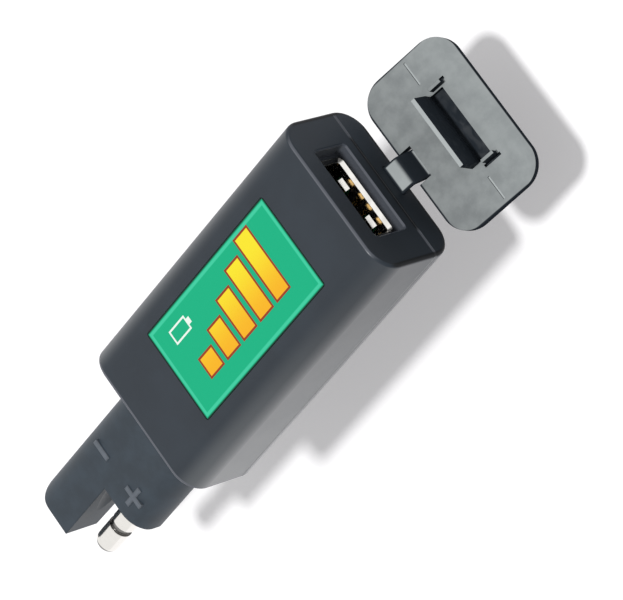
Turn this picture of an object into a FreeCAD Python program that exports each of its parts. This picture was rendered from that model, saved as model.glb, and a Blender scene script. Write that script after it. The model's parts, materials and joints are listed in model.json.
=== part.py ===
import FreeCAD, Part
import math
import os
import Sketcher

# In-line charger: a USB power port in a two-shell case, with a two-pole battery plug moulded
# on one end and a strap-hinged cap for the port on the other.
# X is the width, +Y points to the port, +Z is the label's normal. The origin is the middle of
# the case's back face.

doc = FreeCAD.newDocument("usb_charger")


# Driving sizes, in millimetres and degrees

TABLE = [
    # The case
    ("case_width", 26.5, "outside width of the case"),
    ("case_height", 16.5, "outside height of the case"),
    ("case_length", 54.5, "length between the two end faces"),
    ("case_corner", 4.2, "radius of the four long corners"),
    ("case_edge", 0.55, "rounding round the port's end face"),
    ("case_bevel", 0.4, "bevel round the plug's end face"),
    ("case_wall", 1.6, "sides, floor and ceiling of the case"),
    ("port_wall", 3.2, "end wall that holds the port"),
    ("plug_wall", 2.0, "end wall that holds the plug"),
    ("split_height", 4.5, "height of the joint between the shells"),
    ("seam_bevel", 0.15, "bevel of the lower shell's outer edge at the joint"),
    ("lip_height", 1.0, "how far the lower shell's lip stands into the upper shell"),
    ("lip_wall", 0.7, "thickness of that lip"),
    ("fit_gap", 0.1, "clearance between pieces that fit into each other"),
    ("support_front", 8.0, "from the port face to the front board supports"),
    ("support_back", 4.2, "from the board's back edge to the back board supports"),
    ("post_side", 2.0, "side of a square post under the board"),
    ("rib_thick", 1.2, "thickness of a rib that holds the board down"),
    # The label
    ("label_width", 16.0, "width of the label"),
    ("label_length", 32.7, "length of the label"),
    ("label_thick", 0.25, "thickness of the label and depth of its recess"),
    ("label_shift", 1.05, "how far the label sits towards the port"),
    ("label_corner", 0.5, "corner radius of the label"),
    # The port's recess
    ("port_width", 15.4, "width of the recess round the port"),
    ("port_tall", 6.5, "height of that recess"),
    ("port_depth", 2.3, "depth of that recess"),
    ("port_corner", 0.6, "corner radius of that recess"),
    ("port_rise", 9.75, "from the back face to the middle of the port"),
    ("port_bevel", 0.25, "bevel round the mouth of that recess"),
    # The receptacle's metal shell
    ("shell_width", 13.1, "outside width of the receptacle"),
    ("shell_tall", 5.7, "outside height of the receptacle"),
    ("shell_wall", 0.3, "thickness of its sheet"),
    ("shell_corner", 0.7, "its outside corner radius"),
    ("shell_length", 14.0, "its length"),
    ("shell_inset", 1.75, "from the port face back to its mouth"),
    ("mouth_rim", 0.3, "how far the rim stands out round its mouth"),
    ("mouth_rim_length", 0.45, "length of that rim"),
    ("mouth_flare", 0.5, "flare inside its mouth"),
    ("finger_spread", 3.4, "from the middle to a spring finger"),
    ("finger_width", 2.0, "width of a spring finger"),
    ("finger_length", 5.0, "length of a spring finger"),
    ("finger_inset", 1.75, "from the mouth back to a finger's tip"),
    ("finger_lead", 0.6, "length of a finger's bent tip"),
    ("finger_bump", 0.3, "how far a finger stands into the opening"),
    ("leg_width", 1.6, "width of a solder leg"),
    ("leg_front", 4.7, "from the mouth to the front legs"),
    ("leg_pitch", 6.0, "from the front legs to the back legs"),
    ("leg_drop", 0.8, "how far legs and tails stand out under the board"),
    # The receptacle's insulator and contacts
    ("tongue_width", 11.1, "width of the tongue"),
    ("tongue_thick", 1.85, "thickness of the tongue"),
    ("tongue_drop", 0.35, "from the port's middle down to the tongue's underside"),
    ("tongue_inset", 1.0, "from the mouth back to the tongue's front"),
    ("tongue_chamfer", 0.3, "bevel at the tongue's front"),
    ("block_length", 5.2, "length of the block that carries the tongue"),
    ("block_overhang", 0.3, "how far the block stands out behind the shell"),
    ("contact_width", 1.0, "width of a contact"),
    ("contact_thick", 0.2, "thickness of a contact"),
    ("contact_inner", 1.0, "from the middle to the inner contacts"),
    ("contact_outer", 3.5, "from the middle to the outer contacts"),
    ("contact_inset", 0.8, "from the tongue's front to a contact's front"),
    ("contact_bow", 0.35, "how far a contact bows out under the tongue"),
    ("contact_nose", 0.22, "from a contact's front to the top of its bow"),
    # The circuit board and what stands on it
    ("board_thick", 1.6, "thickness of the board"),
    ("lead_room", 4.8, "between the plug's flange and the board's back edge"),
    ("board_clear", 0.2, "clearance round the board"),
    ("solder_gap", 0.1, "height of solder under a part on the board"),
    ("coil_depth", 2.6, "depth of the inductor's winding"),
    ("coil_cover", 0.6, "how far the flanges stand out past the winding"),
    ("coil_headroom", 1.2, "between the inductor and the case's ceiling"),
    ("coil_margin", 1.45, "from the board's plus side to the inductor"),
    ("coil_room", 0.2, "between the inductor and the chip's legs"),
    ("coil_flange", 1.0, "thickness of an inductor flange"),
    ("can_radius", 3.15, "radius of a capacitor can"),
    ("can_headroom", 0.8, "between a capacitor can and the case's ceiling"),
    ("can_groove", 0.35, "depth of the groove round a can"),
    ("can_inset", 4.25, "from the board's minus side to a can's middle"),
    ("can_back", 6.4, "from the board's back edge to the input can's middle"),
    ("part_gap", 1.5, "between the receptacle and the parts behind it"),
    ("chip_length", 4.9, "length of the regulator chip"),
    ("chip_width", 3.9, "width of the regulator chip"),
    ("chip_tall", 1.5, "height of the regulator chip"),
    ("chip_pitch", 1.27, "pitch of the chip's legs"),
    ("chip_leg", 0.42, "width of a chip leg"),
    ("chip_foot", 1.05, "how far a chip leg stands out"),
    ("chip_margin", 1.65, "from the board's minus side to the chip's legs"),
    ("diode_length", 4.5, "length of the diode"),
    ("diode_width", 3.6, "width of the diode"),
    ("diode_tall", 2.3, "height of the diode"),
    ("diode_inset", 4.05, "from the board's plus side to the diode's middle"),
    ("fuse_length", 4.5, "length of the resettable fuse"),
    ("fuse_width", 3.2, "width of the resettable fuse"),
    ("fuse_tall", 1.1, "height of the resettable fuse"),
    ("fuse_gap", 0.7, "between the positive lead and the fuse"),
    ("fuse_back", 3.25, "from the board's back edge to the fuse's middle"),
    ("speck_length", 2.0, "length of a chip resistor"),
    ("speck_width", 1.25, "width of a chip resistor"),
    ("speck_tall", 0.5, "height of a chip resistor"),
    ("speck_inset", 10.05, "from the board's plus side to a resistor's middle"),
    ("speck_pitch", 3.0, "between the two resistors by the receptacle"),
    ("speck_back", 3.2, "from the board's back edge to the third resistor"),
    # The battery plug
    ("plug_width", 17.8, "width of the plug"),
    ("plug_thick", 7.7, "thickness of the plug"),
    ("plug_crown", 4.2, "radius of the plug's long corners on the label's side"),
    ("plug_corner", 3.2, "radius of the plug's long corners on the back"),
    ("plug_rise", 5.9, "from the back face to the plug's middle"),
    ("long_reach", 31.2, "from the case to the end of the shrouded pole"),
    ("short_reach", 19.1, "from the case to the end of the bare pole"),
    ("long_corner", 3.0, "corner radius at the shrouded pole's end"),
    ("short_corner", 0.4, "corner radius at the bare pole's end"),
    ("pole_taper", 1.0, "how much thinner the shrouded pole gets"),
    ("hollow_radius", 5.4, "from the pin's axis to the hollow in the shrouded pole's side"),
    ("hollow_length", 8.0, "length of that hollow"),
    ("flange_overlap", 1.0, "how far the plug's flange stands out inside the case"),
    ("flange_thick", 1.5, "thickness of that flange"),
    ("pole_pitch", 9.0, "between the two poles' axes"),
    ("pin_radius", 2.0, "radius of the bare pin"),
    ("pin_start", 0.15, "from the pole's face to the pin's full radius"),
    ("pin_shank", 4.1, "from the pole's face to the end of the pin's shank"),
    ("pin_length", 10.4, "length of the pin outside the plug"),
    ("pin_neck", 1.65, "radius of the groove behind the pin's head"),
    ("pin_groove", 1.1, "width of that groove"),
    ("pin_tip", 1.5, "rounding of the pin's tip"),
    ("pin_head", 1.98, "radius of the pin's head"),
    ("pin_stem", 1.5, "radius of the pin inside the plug"),
    ("collar_radius", 2.6, "radius of the collar that anchors the pin"),
    ("collar_width", 2.0, "width of that collar"),
    ("collar_depth", 3.0, "from the pole's face to that collar"),
    ("socket_radius", 2.05, "radius of the socket's bore"),
    ("socket_wall", 0.35, "wall of the socket's sleeve"),
    ("socket_depth", 10.0, "depth of the socket's bore"),
    ("socket_inset", 1.0, "from the pole's end back to the sleeve"),
    ("socket_floor", 1.2, "thickness of the sleeve's closed end"),
    ("tail_radius", 1.2, "radius of the socket's tail"),
    ("wire_depth", 7.5, "from the case to the ends of the leads in the plug"),
    ("wire_radius", 0.8, "radius of a lead"),
    ("wire_rise_run", 2.6, "length over which a lead climbs onto the board"),
    ("wire_margin", 0.8, "from the board's back edge to where a lead lies level again"),
    ("wire_landing", 3.6, "length of a lead that lies on the board"),
    # The cap and its strap
    ("cap_thick", 1.6, "thickness of the cap's plate"),
    ("cap_gap", 0.1, "between the closed cap and the port face"),
    ("cap_edge", 0.4, "bevel round the cap's outer face"),
    ("cap_angle", 110.0, "how far the cap hangs open"),
    ("hinge_reach", 1.04, "from the port face out to the axis the cap swings on"),
    ("hinge_drop", 0.41, "from the back face down to that axis"),
    ("notch_width", 5.4, "width of the notch for the strap"),
    ("notch_depth", 2.25, "depth of the notch for the strap"),
    ("stopper_play", 0.15, "between the stopper and what it slides past"),
    ("stopper_height", 4.4, "how far the stopper reaches into the port"),
    ("stopper_bevel", 0.75, "bevel of the stopper's tip on the tongue's side"),
    ("stopper_bevel_run", 2.6, "length of that bevel"),
    ("pocket_depth", 0.9, "depth of the pocket in the cap beside the stopper"),
    ("pocket_side", 0.5, "how far that pocket is wider than the tongue, each side"),
    ("ear_height", 1.4, "height of the two low walls at the stopper's sides"),
    ("ear_thick", 0.5, "thickness of a low wall"),
    ("ear_inset", 0.75, "from the stopper's pressed side to a low wall"),
    ("ear_length", 2.2, "length of a low wall"),
    ("slit_width", 0.45, "width of the slit beside a low wall"),
    ("slit_depth", 0.7, "depth of that slit"),
    ("slit_margin", 0.4, "how far that slit is longer than the low wall, each end"),
    ("crease_depth", 0.15, "depth of the creases in the cap's inner face"),
    ("crease_width", 0.3, "width of a crease"),
    ("crease_length", 4.0, "length of a crease"),
    ("crease_margin", 0.75, "from the end of a crease to the cap's side"),
    ("strap_width", 5.0, "width of the strap"),
    ("strap_thick", 0.8, "thickness of the strap"),
    ("strap_rise", 2.55, "from the back face up to the strap's top at its root"),
    ("shoulder_out", 1.95, "from the port face to the strap's upper bend"),
    ("shoulder_fall", 0.63, "how far the strap falls before that bend"),
    ("shoulder_bend", 0.9, "radius of the strap's upper bend"),
    ("ankle_run", 0.75, "straight part of the strap where it joins the cap"),
    ("ankle_bend", 0.6, "radius of the strap's lower bend"),
    ("anchor_width", 8.0, "width of the strap's head inside the case"),
    ("anchor_tall", 1.6, "height of that head"),
    ("anchor_thick", 1.2, "thickness of that head"),
]


class Size:
    """A size that knows its number and the expression on the sheet that it comes from."""

    def __init__(self, number, text):
        self.number = number
        self.text = text

    def __add__(self, other):
        other = size(other)
        return Size(self.number + other.number, f"({self.text} + {other.text})")

    def __sub__(self, other):
        other = size(other)
        return Size(self.number - other.number, f"({self.text} - {other.text})")

    def __rsub__(self, other):
        return size(other) - self

    def __mul__(self, other):
        other = size(other)
        return Size(self.number * other.number, f"({self.text} * {other.text})")

    def __truediv__(self, other):
        other = size(other)
        return Size(self.number / other.number, f"({self.text} / {other.text})")

    def __neg__(self):
        return Size(-self.number, f"(-{self.text})")


def size(value):
    """Gives a plain number the form of a Size."""
    if isinstance(value, Size):
        return value
    return Size(float(value), f"({float(value)})")


def cosine(angle):
    """Cosine of a Size in degrees."""
    return Size(math.cos(math.radians(angle.number)), f"cos({angle.text})")


def sine(angle):
    """Sine of a Size in degrees."""
    return Size(math.sin(math.radians(angle.number)), f"sin({angle.text})")


class Dimensions:
    """The sheet's sizes by name."""


dim = Dimensions()
sheet = doc.addObject("Spreadsheet::Sheet", "Sizes")
for row, (alias, number, meaning) in enumerate(TABLE, start=1):
    sheet.set(f"A{row}", alias)
    sheet.set(f"B{row}", str(number))
    sheet.setAlias(f"B{row}", alias)
    sheet.set(f"C{row}", meaning)
    setattr(dim, alias, Size(number, f"Sizes.{alias}"))
doc.recompute()


# Sketches

PLANES = {"x": "YZ_Plane", "y": "XZ_Plane", "z": "XY_Plane"}


def add_sketch(body, name, axis, place, across=0.0, up=0.0):
    """A sketch square to an axis of the body, at a place along it, with its origin moved."""
    sketch = body.newObject("Sketcher::SketchObject", name)
    planes = [item for item in body.Origin.OriginFeatures if item.Role == PLANES[axis]]
    sketch.AttachmentSupport = [(planes[0], "")]
    sketch.MapMode = "FlatFace"
    normal = -size(place) if axis == "y" else size(place)
    sketch.setExpression("AttachmentOffset.Base.x", size(across).text)
    sketch.setExpression("AttachmentOffset.Base.y", size(up).text)
    sketch.setExpression("AttachmentOffset.Base.z", normal.text)
    return sketch


def bind_constraint(sketch, constraint, value):
    """Adds a constraint whose value comes from the sheet."""
    index = sketch.addConstraint(constraint)
    sketch.setExpression(f"Constraints[{index}]", value.text)


def fix_point(sketch, item, end, across, up):
    """Holds one point of a sketch at sizes from the sheet."""
    for kind, axis, value in (("DistanceX", -2, size(across)), ("DistanceY", -1, size(up))):
        if abs(value.number) < 1e-9:
            sketch.addConstraint(Sketcher.Constraint("PointOnObject", item, end, axis))
        else:
            constraint = Sketcher.Constraint(kind, -1, 1, item, end, value.number)
            bind_constraint(sketch, constraint, value)


def add_circle(sketch, across, up, radius):
    """A circle held by its centre and radius."""
    centre = FreeCAD.Vector(size(across).number, size(up).number, 0)
    upward = FreeCAD.Vector(0, 0, 1)
    item = sketch.addGeometry(Part.Circle(centre, upward, radius.number))
    fix_point(sketch, item, 3, across, up)
    bind_constraint(sketch, Sketcher.Constraint("Radius", item, radius.number), radius)


def rounding(before, corner, after, radius):
    """Where a rounded corner's arc starts, has its middle and ends."""
    back = (before - corner).normalize()
    ahead = (after - corner).normalize()
    half = back.getAngle(ahead) / 2
    inward = (back + ahead).normalize()
    centre = corner + inward * (radius / math.sin(half))
    reach = radius / math.tan(half)
    return corner + back * reach, centre - inward * radius, corner + ahead * reach


def add_outline(sketch, corners, closed=True):
    """Lines through the corners; a corner is (across, up) or (across, up, radius)."""
    spots = [FreeCAD.Vector(size(c[0]).number, size(c[1]).number, 0) for c in corners]
    count = len(corners)
    marks = []
    for corner, spot in zip(corners, spots):
        mark = sketch.addGeometry(Part.Point(spot), True)
        fix_point(sketch, mark, 1, corner[0], corner[1])
        marks.append(mark)
    arcs = {}
    for index, corner in enumerate(corners):
        if len(corner) == 3:
            before = spots[index - 1]
            after = spots[(index + 1) % count]
            arcs[index] = rounding(before, spots[index], after, corner[2].number)
    lines = []
    for index in range(count if closed else count - 1):
        following = (index + 1) % count
        start = arcs[index][2] if index in arcs else spots[index]
        finish = arcs[following][0] if following in arcs else spots[following]
        lines.append(sketch.addGeometry(Part.LineSegment(start, finish)))
    for index, mark in enumerate(marks):
        incoming = lines[index - 1] if closed or index else None
        outgoing = lines[index] if index < len(lines) else None
        if index in arcs:
            round_corner(sketch, mark, incoming, outgoing, arcs[index], corners[index][2])
            continue
        if incoming is not None:
            sketch.addConstraint(Sketcher.Constraint("Coincident", incoming, 2, mark, 1))
        if outgoing is not None:
            sketch.addConstraint(Sketcher.Constraint("Coincident", outgoing, 1, mark, 1))


def round_corner(sketch, mark, incoming, outgoing, points, radius):
    """An arc between two lines that meet at a mark, always drawn anticlockwise."""
    clockwise = (points[1] - points[0]).cross(points[2] - points[0]).z < 0
    arc = sketch.addGeometry(Part.Arc(*(reversed(points) if clockwise else points)))
    first, last = (2, 1) if clockwise else (1, 2)
    sketch.addConstraint(Sketcher.Constraint("PointOnObject", mark, 1, incoming))
    sketch.addConstraint(Sketcher.Constraint("PointOnObject", mark, 1, outgoing))
    sketch.addConstraint(Sketcher.Constraint("Tangent", incoming, 2, arc, first))
    sketch.addConstraint(Sketcher.Constraint("Tangent", outgoing, 1, arc, last))
    bind_constraint(sketch, Sketcher.Constraint("Radius", arc, radius.number), radius)


def box_outline(left, low, right, high, radius=None):
    """The corners of an upright rectangle, rounded where a radius is given."""
    corners = [(left, low), (right, low), (right, high), (left, high)]
    if radius is None:
        return corners
    return [(across, up, radius) for across, up in corners]


def wide_outline(half_width, low, high, radius=None):
    """A rectangle that is as wide on both sides of the middle."""
    return box_outline(-half_width, low, half_width, high, radius)


SIDES = (("left", -1), ("right", 1))


def side_outline(side, inner, outer, low, high):
    """A rectangle on one side (-1 or 1) of the middle, between two distances from it."""
    if side < 0:
        return box_outline(-outer, low, -inner, high)
    return box_outline(inner, low, outer, high)


# Features

bodies = []


def add_body(name):
    """A sub-part of its own."""
    body = doc.addObject("PartDesign::Body", name)
    body.Label = name
    bodies.append(body)
    return body


def pad(body, name, axis, start, end, *outlines):
    """Material between two places along an axis."""
    sketch = add_sketch(body, f"{name}_sketch", axis, end if axis == "y" else start)
    for outline in outlines:
        add_outline(sketch, outline)
    feature = body.newObject("PartDesign::Pad", name)
    feature.Profile = sketch
    feature.setExpression("Length", (size(end) - start).text)
    doc.recompute()
    return feature


def cut(body, name, axis, start, end, *outlines):
    """Takes material away between two places along an axis."""
    before = body.Shape.Volume
    sketch = add_sketch(body, f"{name}_sketch", axis, start if axis == "y" else end)
    for outline in outlines:
        add_outline(sketch, outline)
    feature = body.newObject("PartDesign::Pocket", name)
    feature.Profile = sketch
    feature.setExpression("Length", (size(end) - start).text)
    doc.recompute()
    if body.Shape.Volume > before - 1e-6:
        raise RuntimeError(f"{body.Name}: {name} cuts nothing")
    return feature


def drill(body, name, start, end, across, up, radius):
    """A round hole along Y."""
    before = body.Shape.Volume
    sketch = add_sketch(body, f"{name}_sketch", "y", start)
    add_circle(sketch, across, up, radius)
    feature = body.newObject("PartDesign::Pocket", name)
    feature.Profile = sketch
    feature.setExpression("Length", (end - start).text)
    doc.recompute()
    if body.Shape.Volume > before - 1e-6:
        raise RuntimeError(f"{body.Name}: {name} cuts nothing")
    return feature


def turn_along_y(body, name, kind, across, up, outline):
    """A turned form (Revolution or Groove) about a line along Y; corners are (y, radius)."""
    sketch = add_sketch(body, f"{name}_sketch", "x", across, 0.0, up)
    add_outline(sketch, outline)
    feature = body.newObject(f"PartDesign::{kind}", name)
    feature.Profile = sketch
    feature.ReferenceAxis = (sketch, ["H_Axis"])
    feature.Angle = 360
    doc.recompute()
    return feature


def turn_upright(body, name, across, along, outline):
    """A turned form about a line along Z; corners are (radius, z)."""
    sketch = add_sketch(body, f"{name}_sketch", "y", along, across, 0.0)
    add_outline(sketch, outline)
    feature = body.newObject("PartDesign::Revolution", name)
    feature.Profile = sketch
    feature.ReferenceAxis = (sketch, ["V_Axis"])
    feature.Angle = 360
    doc.recompute()
    return feature


def round_where(body, name, radius, test):
    """Rounds the edges that pass a test."""
    base = body.Tip
    edges = base.Shape.Edges
    names = [f"Edge{index}" for index, edge in enumerate(edges, start=1) if test(edge)]
    feature = body.newObject("PartDesign::Fillet", name)
    feature.Base = (base, names)
    feature.setExpression("Radius", radius.text)
    doc.recompute()
    return feature


def bevel_where(body, name, width, test):
    """Bevels the edges that pass a test."""
    base = body.Tip
    edges = base.Shape.Edges
    names = [f"Edge{index}" for index, edge in enumerate(edges, start=1) if test(edge)]
    feature = body.newObject("PartDesign::Chamfer", name)
    feature.Base = (base, names)
    feature.setExpression("Size", width.text)
    doc.recompute()
    return feature


def lies_at(edge, along):
    """True for an edge that lies in the plane across Y at a place."""
    box = edge.BoundBox
    return abs(box.YMin - along) < 1e-5 and abs(box.YMax - along) < 1e-5


def within(edge, half, low, high):
    """True for an edge inside a window that is as wide on both sides of the middle."""
    box = edge.BoundBox
    near = 1e-4
    sides = box.XMin > -half.number - near and box.XMax < half.number + near
    return sides and box.ZMin > low.number - near and box.ZMax < high.number + near


# Places that several pieces share

half_width = dim.case_width / 2
half_length = dim.case_length / 2
port_face = half_length
plug_face = -half_length
inner_half = half_width - dim.case_wall
ceiling = dim.case_height - dim.case_wall
cavity_front = port_face - dim.port_wall
cavity_back = plug_face + dim.plug_wall
inner_corner = dim.case_corner - dim.case_wall

shell_mouth = port_face - dim.shell_inset
shell_back = shell_mouth - dim.shell_length
shell_low = dim.port_rise - dim.shell_tall / 2
shell_high = dim.port_rise + dim.shell_tall / 2
opening_half = dim.shell_width / 2 - dim.shell_wall
opening_low = shell_low + dim.shell_wall
opening_high = shell_high - dim.shell_wall
leg_places = [shell_mouth - dim.leg_front, shell_mouth - dim.leg_front - dim.leg_pitch]

tongue_low = dim.port_rise - dim.tongue_drop
tongue_high = tongue_low + dim.tongue_thick
tongue_front = shell_mouth - dim.tongue_inset
block_back = shell_back - dim.block_overhang
contact_low = tongue_low - dim.contact_thick
contact_places = [-dim.contact_outer, -dim.contact_inner, dim.contact_inner, dim.contact_outer]

board_high = shell_low - dim.solder_gap
board_low = board_high - dim.board_thick
lip_half = inner_half - dim.fit_gap - dim.lip_wall
board_half = lip_half - dim.board_clear
board_front = cavity_front - dim.fit_gap - dim.lip_wall - dim.board_clear
board_back = cavity_back + dim.flange_thick + dim.lead_room
tail_low = board_low - dim.leg_drop
stand = board_high + dim.solder_gap
support_places = [port_face - dim.support_front, board_back + dim.support_back]

plug_half = dim.plug_width / 2
plug_low = dim.plug_rise - dim.plug_thick / 2
plug_high = dim.plug_rise + dim.plug_thick / 2
flange_half = plug_half + dim.flange_overlap
flange_low = dim.case_wall + dim.fit_gap
flange_high = plug_high + dim.flange_overlap
flange_front = cavity_back + dim.flange_thick
long_end = plug_face - dim.long_reach
short_end = plug_face - dim.short_reach
pole_axis = dim.pole_pitch / 2
wire_end = plug_face - dim.wire_depth

strap_half = dim.strap_width / 2
strap_low = dim.strap_rise - dim.strap_thick
hinge_along = port_face + dim.hinge_reach
hinge_height = -dim.hinge_drop


# The case


def case_block(body):
    """The case as a plain block with rounded corners, a rounded and a bevelled end."""
    outside = wide_outline(half_width, size(0), dim.case_height, dim.case_corner)
    pad(body, "outside", "y", plug_face, port_face, outside)
    round_where(body, "port_end", dim.case_edge, lambda edge: lies_at(edge, port_face.number))
    bevel_where(body, "plug_end", dim.case_bevel, lambda edge: lies_at(edge, plug_face.number))


def on_outer_seam(edge):
    """True for an edge of the joint between the shells that shows from outside."""
    box = edge.BoundBox
    level = abs(box.ZMin - dim.split_height.number) < 1e-5 and box.ZLength < 1e-5
    beyond_sides = max(-box.XMin, box.XMax) > inner_half.number + dim.fit_gap.number
    beyond_ends = box.YMax > cavity_front.number + 1e-3 or box.YMin < cavity_back.number - 1e-3
    return level and (beyond_sides or beyond_ends)


def case_cavity(body):
    """Hollows the block between its two end walls."""
    inside = wide_outline(inner_half, dim.case_wall, ceiling, inner_corner)
    cut(body, "cavity", "y", cavity_back, cavity_front, inside)


def plug_outline(room):
    """The plug's section with some room round it; its upper corners are the rounder ones."""
    half = plug_half + room
    low = plug_low - room
    high = plug_high + room
    return [
        (-half, low, dim.plug_corner + room),
        (half, low, dim.plug_corner + room),
        (half, high, dim.plug_crown + room),
        (-half, high, dim.plug_crown + room),
    ]


def plug_opening(body):
    """The opening in the end wall that the plug's neck passes through."""
    cut(body, "plug_opening", "y", plug_face - dim.case_bevel, cavity_back + dim.case_bevel,
        plug_outline(dim.fit_gap))


def make_upper_shell():
    """The deep shell: label recess, port recess and ribs that hold the board down."""
    body = add_body("upper_shell")
    case_block(body)
    case_cavity(body)
    margin = dim.case_wall
    below = wide_outline(half_width + margin, -margin, dim.split_height)
    cut(body, "split", "y", plug_face - margin, port_face + margin, below)
    for name, side in SIDES:
        for number, place in enumerate(support_places):
            rib = side_outline(side, lip_half, inner_half + dim.fit_gap,
                               place - dim.rib_thick / 2, place + dim.rib_thick / 2)
            pad(body, f"rib_{name}_{number}", "z", board_high, ceiling, rib)
    recess_half = dim.label_width / 2 + dim.fit_gap
    recess_end = dim.label_length / 2 + dim.fit_gap
    recess = box_outline(-recess_half, dim.label_shift - recess_end, recess_half,
                         dim.label_shift + recess_end, dim.label_corner)
    cut(body, "label_recess", "z", dim.case_height - dim.label_thick,
        dim.case_height + dim.label_thick, recess)
    port_half = dim.port_width / 2
    port_low = dim.port_rise - dim.port_tall / 2
    port_high = dim.port_rise + dim.port_tall / 2
    port_recess = wide_outline(port_half, port_low, port_high, dim.port_corner)
    cut(body, "port_recess", "y", port_face - dim.port_depth, port_face + dim.port_depth,
        port_recess)
    bevel_where(body, "port_bevel", dim.port_bevel,
                lambda edge: lies_at(edge, port_face.number)
                and within(edge, port_half, port_low, port_high))
    hole = wide_outline(dim.shell_width / 2 + dim.fit_gap, shell_low - dim.fit_gap,
                        shell_high + dim.fit_gap, dim.shell_corner + dim.fit_gap)
    cut(body, "receptacle_hole", "y", cavity_front - dim.fit_gap, port_face, hole)
    plug_opening(body)
    return body


def make_lower_shell():
    """The shallow shell: a lip that stands into the upper shell, and posts for the board."""
    body = add_body("lower_shell")
    case_block(body)
    case_cavity(body)
    margin = dim.case_wall
    above = wide_outline(half_width + margin, dim.split_height, dim.case_height + margin)
    cut(body, "split", "y", plug_face - margin, port_face + margin, above)
    bevel_where(body, "seam_bevel", dim.seam_bevel, on_outer_seam)
    lip_outer = box_outline(-inner_half + dim.fit_gap, cavity_back + dim.fit_gap,
                            inner_half - dim.fit_gap, cavity_front - dim.fit_gap)
    lip_inner = box_outline(-lip_half, cavity_back + dim.fit_gap + dim.lip_wall,
                            lip_half, cavity_front - dim.fit_gap - dim.lip_wall)
    lip_root = box_outline(-inner_half - dim.fit_gap, cavity_back - dim.fit_gap,
                           inner_half + dim.fit_gap, cavity_front + dim.fit_gap)
    pad(body, "lip_root", "z", dim.split_height - dim.lip_height, dim.split_height,
        lip_root, lip_inner)
    pad(body, "lip", "z", dim.split_height - dim.lip_height,
        dim.split_height + dim.lip_height, lip_outer, lip_inner)
    for name, side in SIDES:
        for number, place in enumerate(support_places):
            post = side_outline(side, board_half - dim.post_side * 1.5,
                                board_half - dim.post_side / 2,
                                place - dim.post_side / 2, place + dim.post_side / 2)
            pad(body, f"post_{name}_{number}", "z", dim.case_wall / 2, board_low, post)
    plug_opening(body)
    seat = box_outline(-flange_half - dim.fit_gap, cavity_back,
                       flange_half + dim.fit_gap, flange_front + dim.fit_gap)
    cut(body, "flange_seat", "z", flange_low - dim.fit_gap,
        dim.split_height + dim.lip_height * 2, seat)
    slot = wide_outline(strap_half + dim.fit_gap, strap_low - dim.fit_gap,
                        dim.strap_rise + dim.fit_gap)
    cut(body, "strap_slot", "y", cavity_front - dim.fit_gap, port_face + dim.fit_gap, slot)
    return body


def make_label():
    """The thin label in its recess."""
    body = add_body("label")
    half = dim.label_width / 2
    end = dim.label_length / 2
    face = box_outline(-half, dim.label_shift - end, half, dim.label_shift + end, dim.label_corner)
    pad(body, "face", "z", dim.case_height - dim.label_thick, dim.case_height, face)
    return body


# The receptacle


def finger_outline(side):
    """A spring finger from the side, on the lower (-1) or upper (+1) wall of the shell."""
    tip = shell_mouth - dim.finger_inset
    root = tip - dim.finger_length
    crest = tip - dim.finger_lead

    def level(inward):
        return dim.port_rise + (dim.shell_tall / 2 - inward) * side

    wall = dim.shell_wall
    peak = wall + dim.finger_bump
    return [
        (root - wall * 2, level(size(0))),
        (root, level(size(0))),
        (crest, level(peak - wall * 0.8)),
        (tip, level(size(0))),
        (tip, level(wall / 2)),
        (crest, level(peak)),
        (root, level(wall)),
        (root - wall * 2, level(wall)),
    ]


def make_usb_shell():
    """The receptacle's steel shell: a flared mouth, four spring fingers and four legs."""
    body = add_body("usb_shell")
    outside = wide_outline(dim.shell_width / 2, shell_low, shell_high, dim.shell_corner)
    inside = wide_outline(opening_half, opening_low, opening_high,
                          dim.shell_corner - dim.shell_wall)
    pad(body, "tube", "y", shell_back, shell_mouth, outside, inside)
    rim = dim.mouth_rim
    outside = wide_outline(dim.shell_width / 2 + rim, shell_low - rim, shell_high + rim,
                           dim.shell_corner + rim)
    pad(body, "rim", "y", shell_mouth - dim.mouth_rim_length, shell_mouth, outside, inside)
    bevel_where(body, "mouth_flare", dim.mouth_flare,
                lambda edge: lies_at(edge, shell_mouth.number)
                and within(edge, opening_half, opening_low, opening_high))
    tip = shell_mouth - dim.finger_inset
    play = dim.shell_wall
    for level, side, wall_low in (("lower", -1, shell_low), ("upper", 1, opening_high)):
        for hand, turn in SIDES:
            middle = dim.finger_spread * turn
            half = dim.finger_width / 2
            window = box_outline(middle - half - play, tip - dim.finger_length,
                                 middle + half + play, tip + play)
            cut(body, f"window_{level}_{hand}", "z", wall_low - dim.shell_wall / 3,
                wall_low + dim.shell_wall * 4 / 3, window)
            pad(body, f"finger_{level}_{hand}", "x", middle - half, middle + half,
                finger_outline(side))
    for hand, turn in SIDES:
        for number, place in enumerate(leg_places):
            leg = side_outline(turn, opening_half, dim.shell_width / 2,
                               place - dim.leg_width / 2, place + dim.leg_width / 2)
            pad(body, f"leg_{hand}_{number}", "z", tail_low, shell_low + dim.shell_corner * 2,
                leg)
    return body


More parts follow.
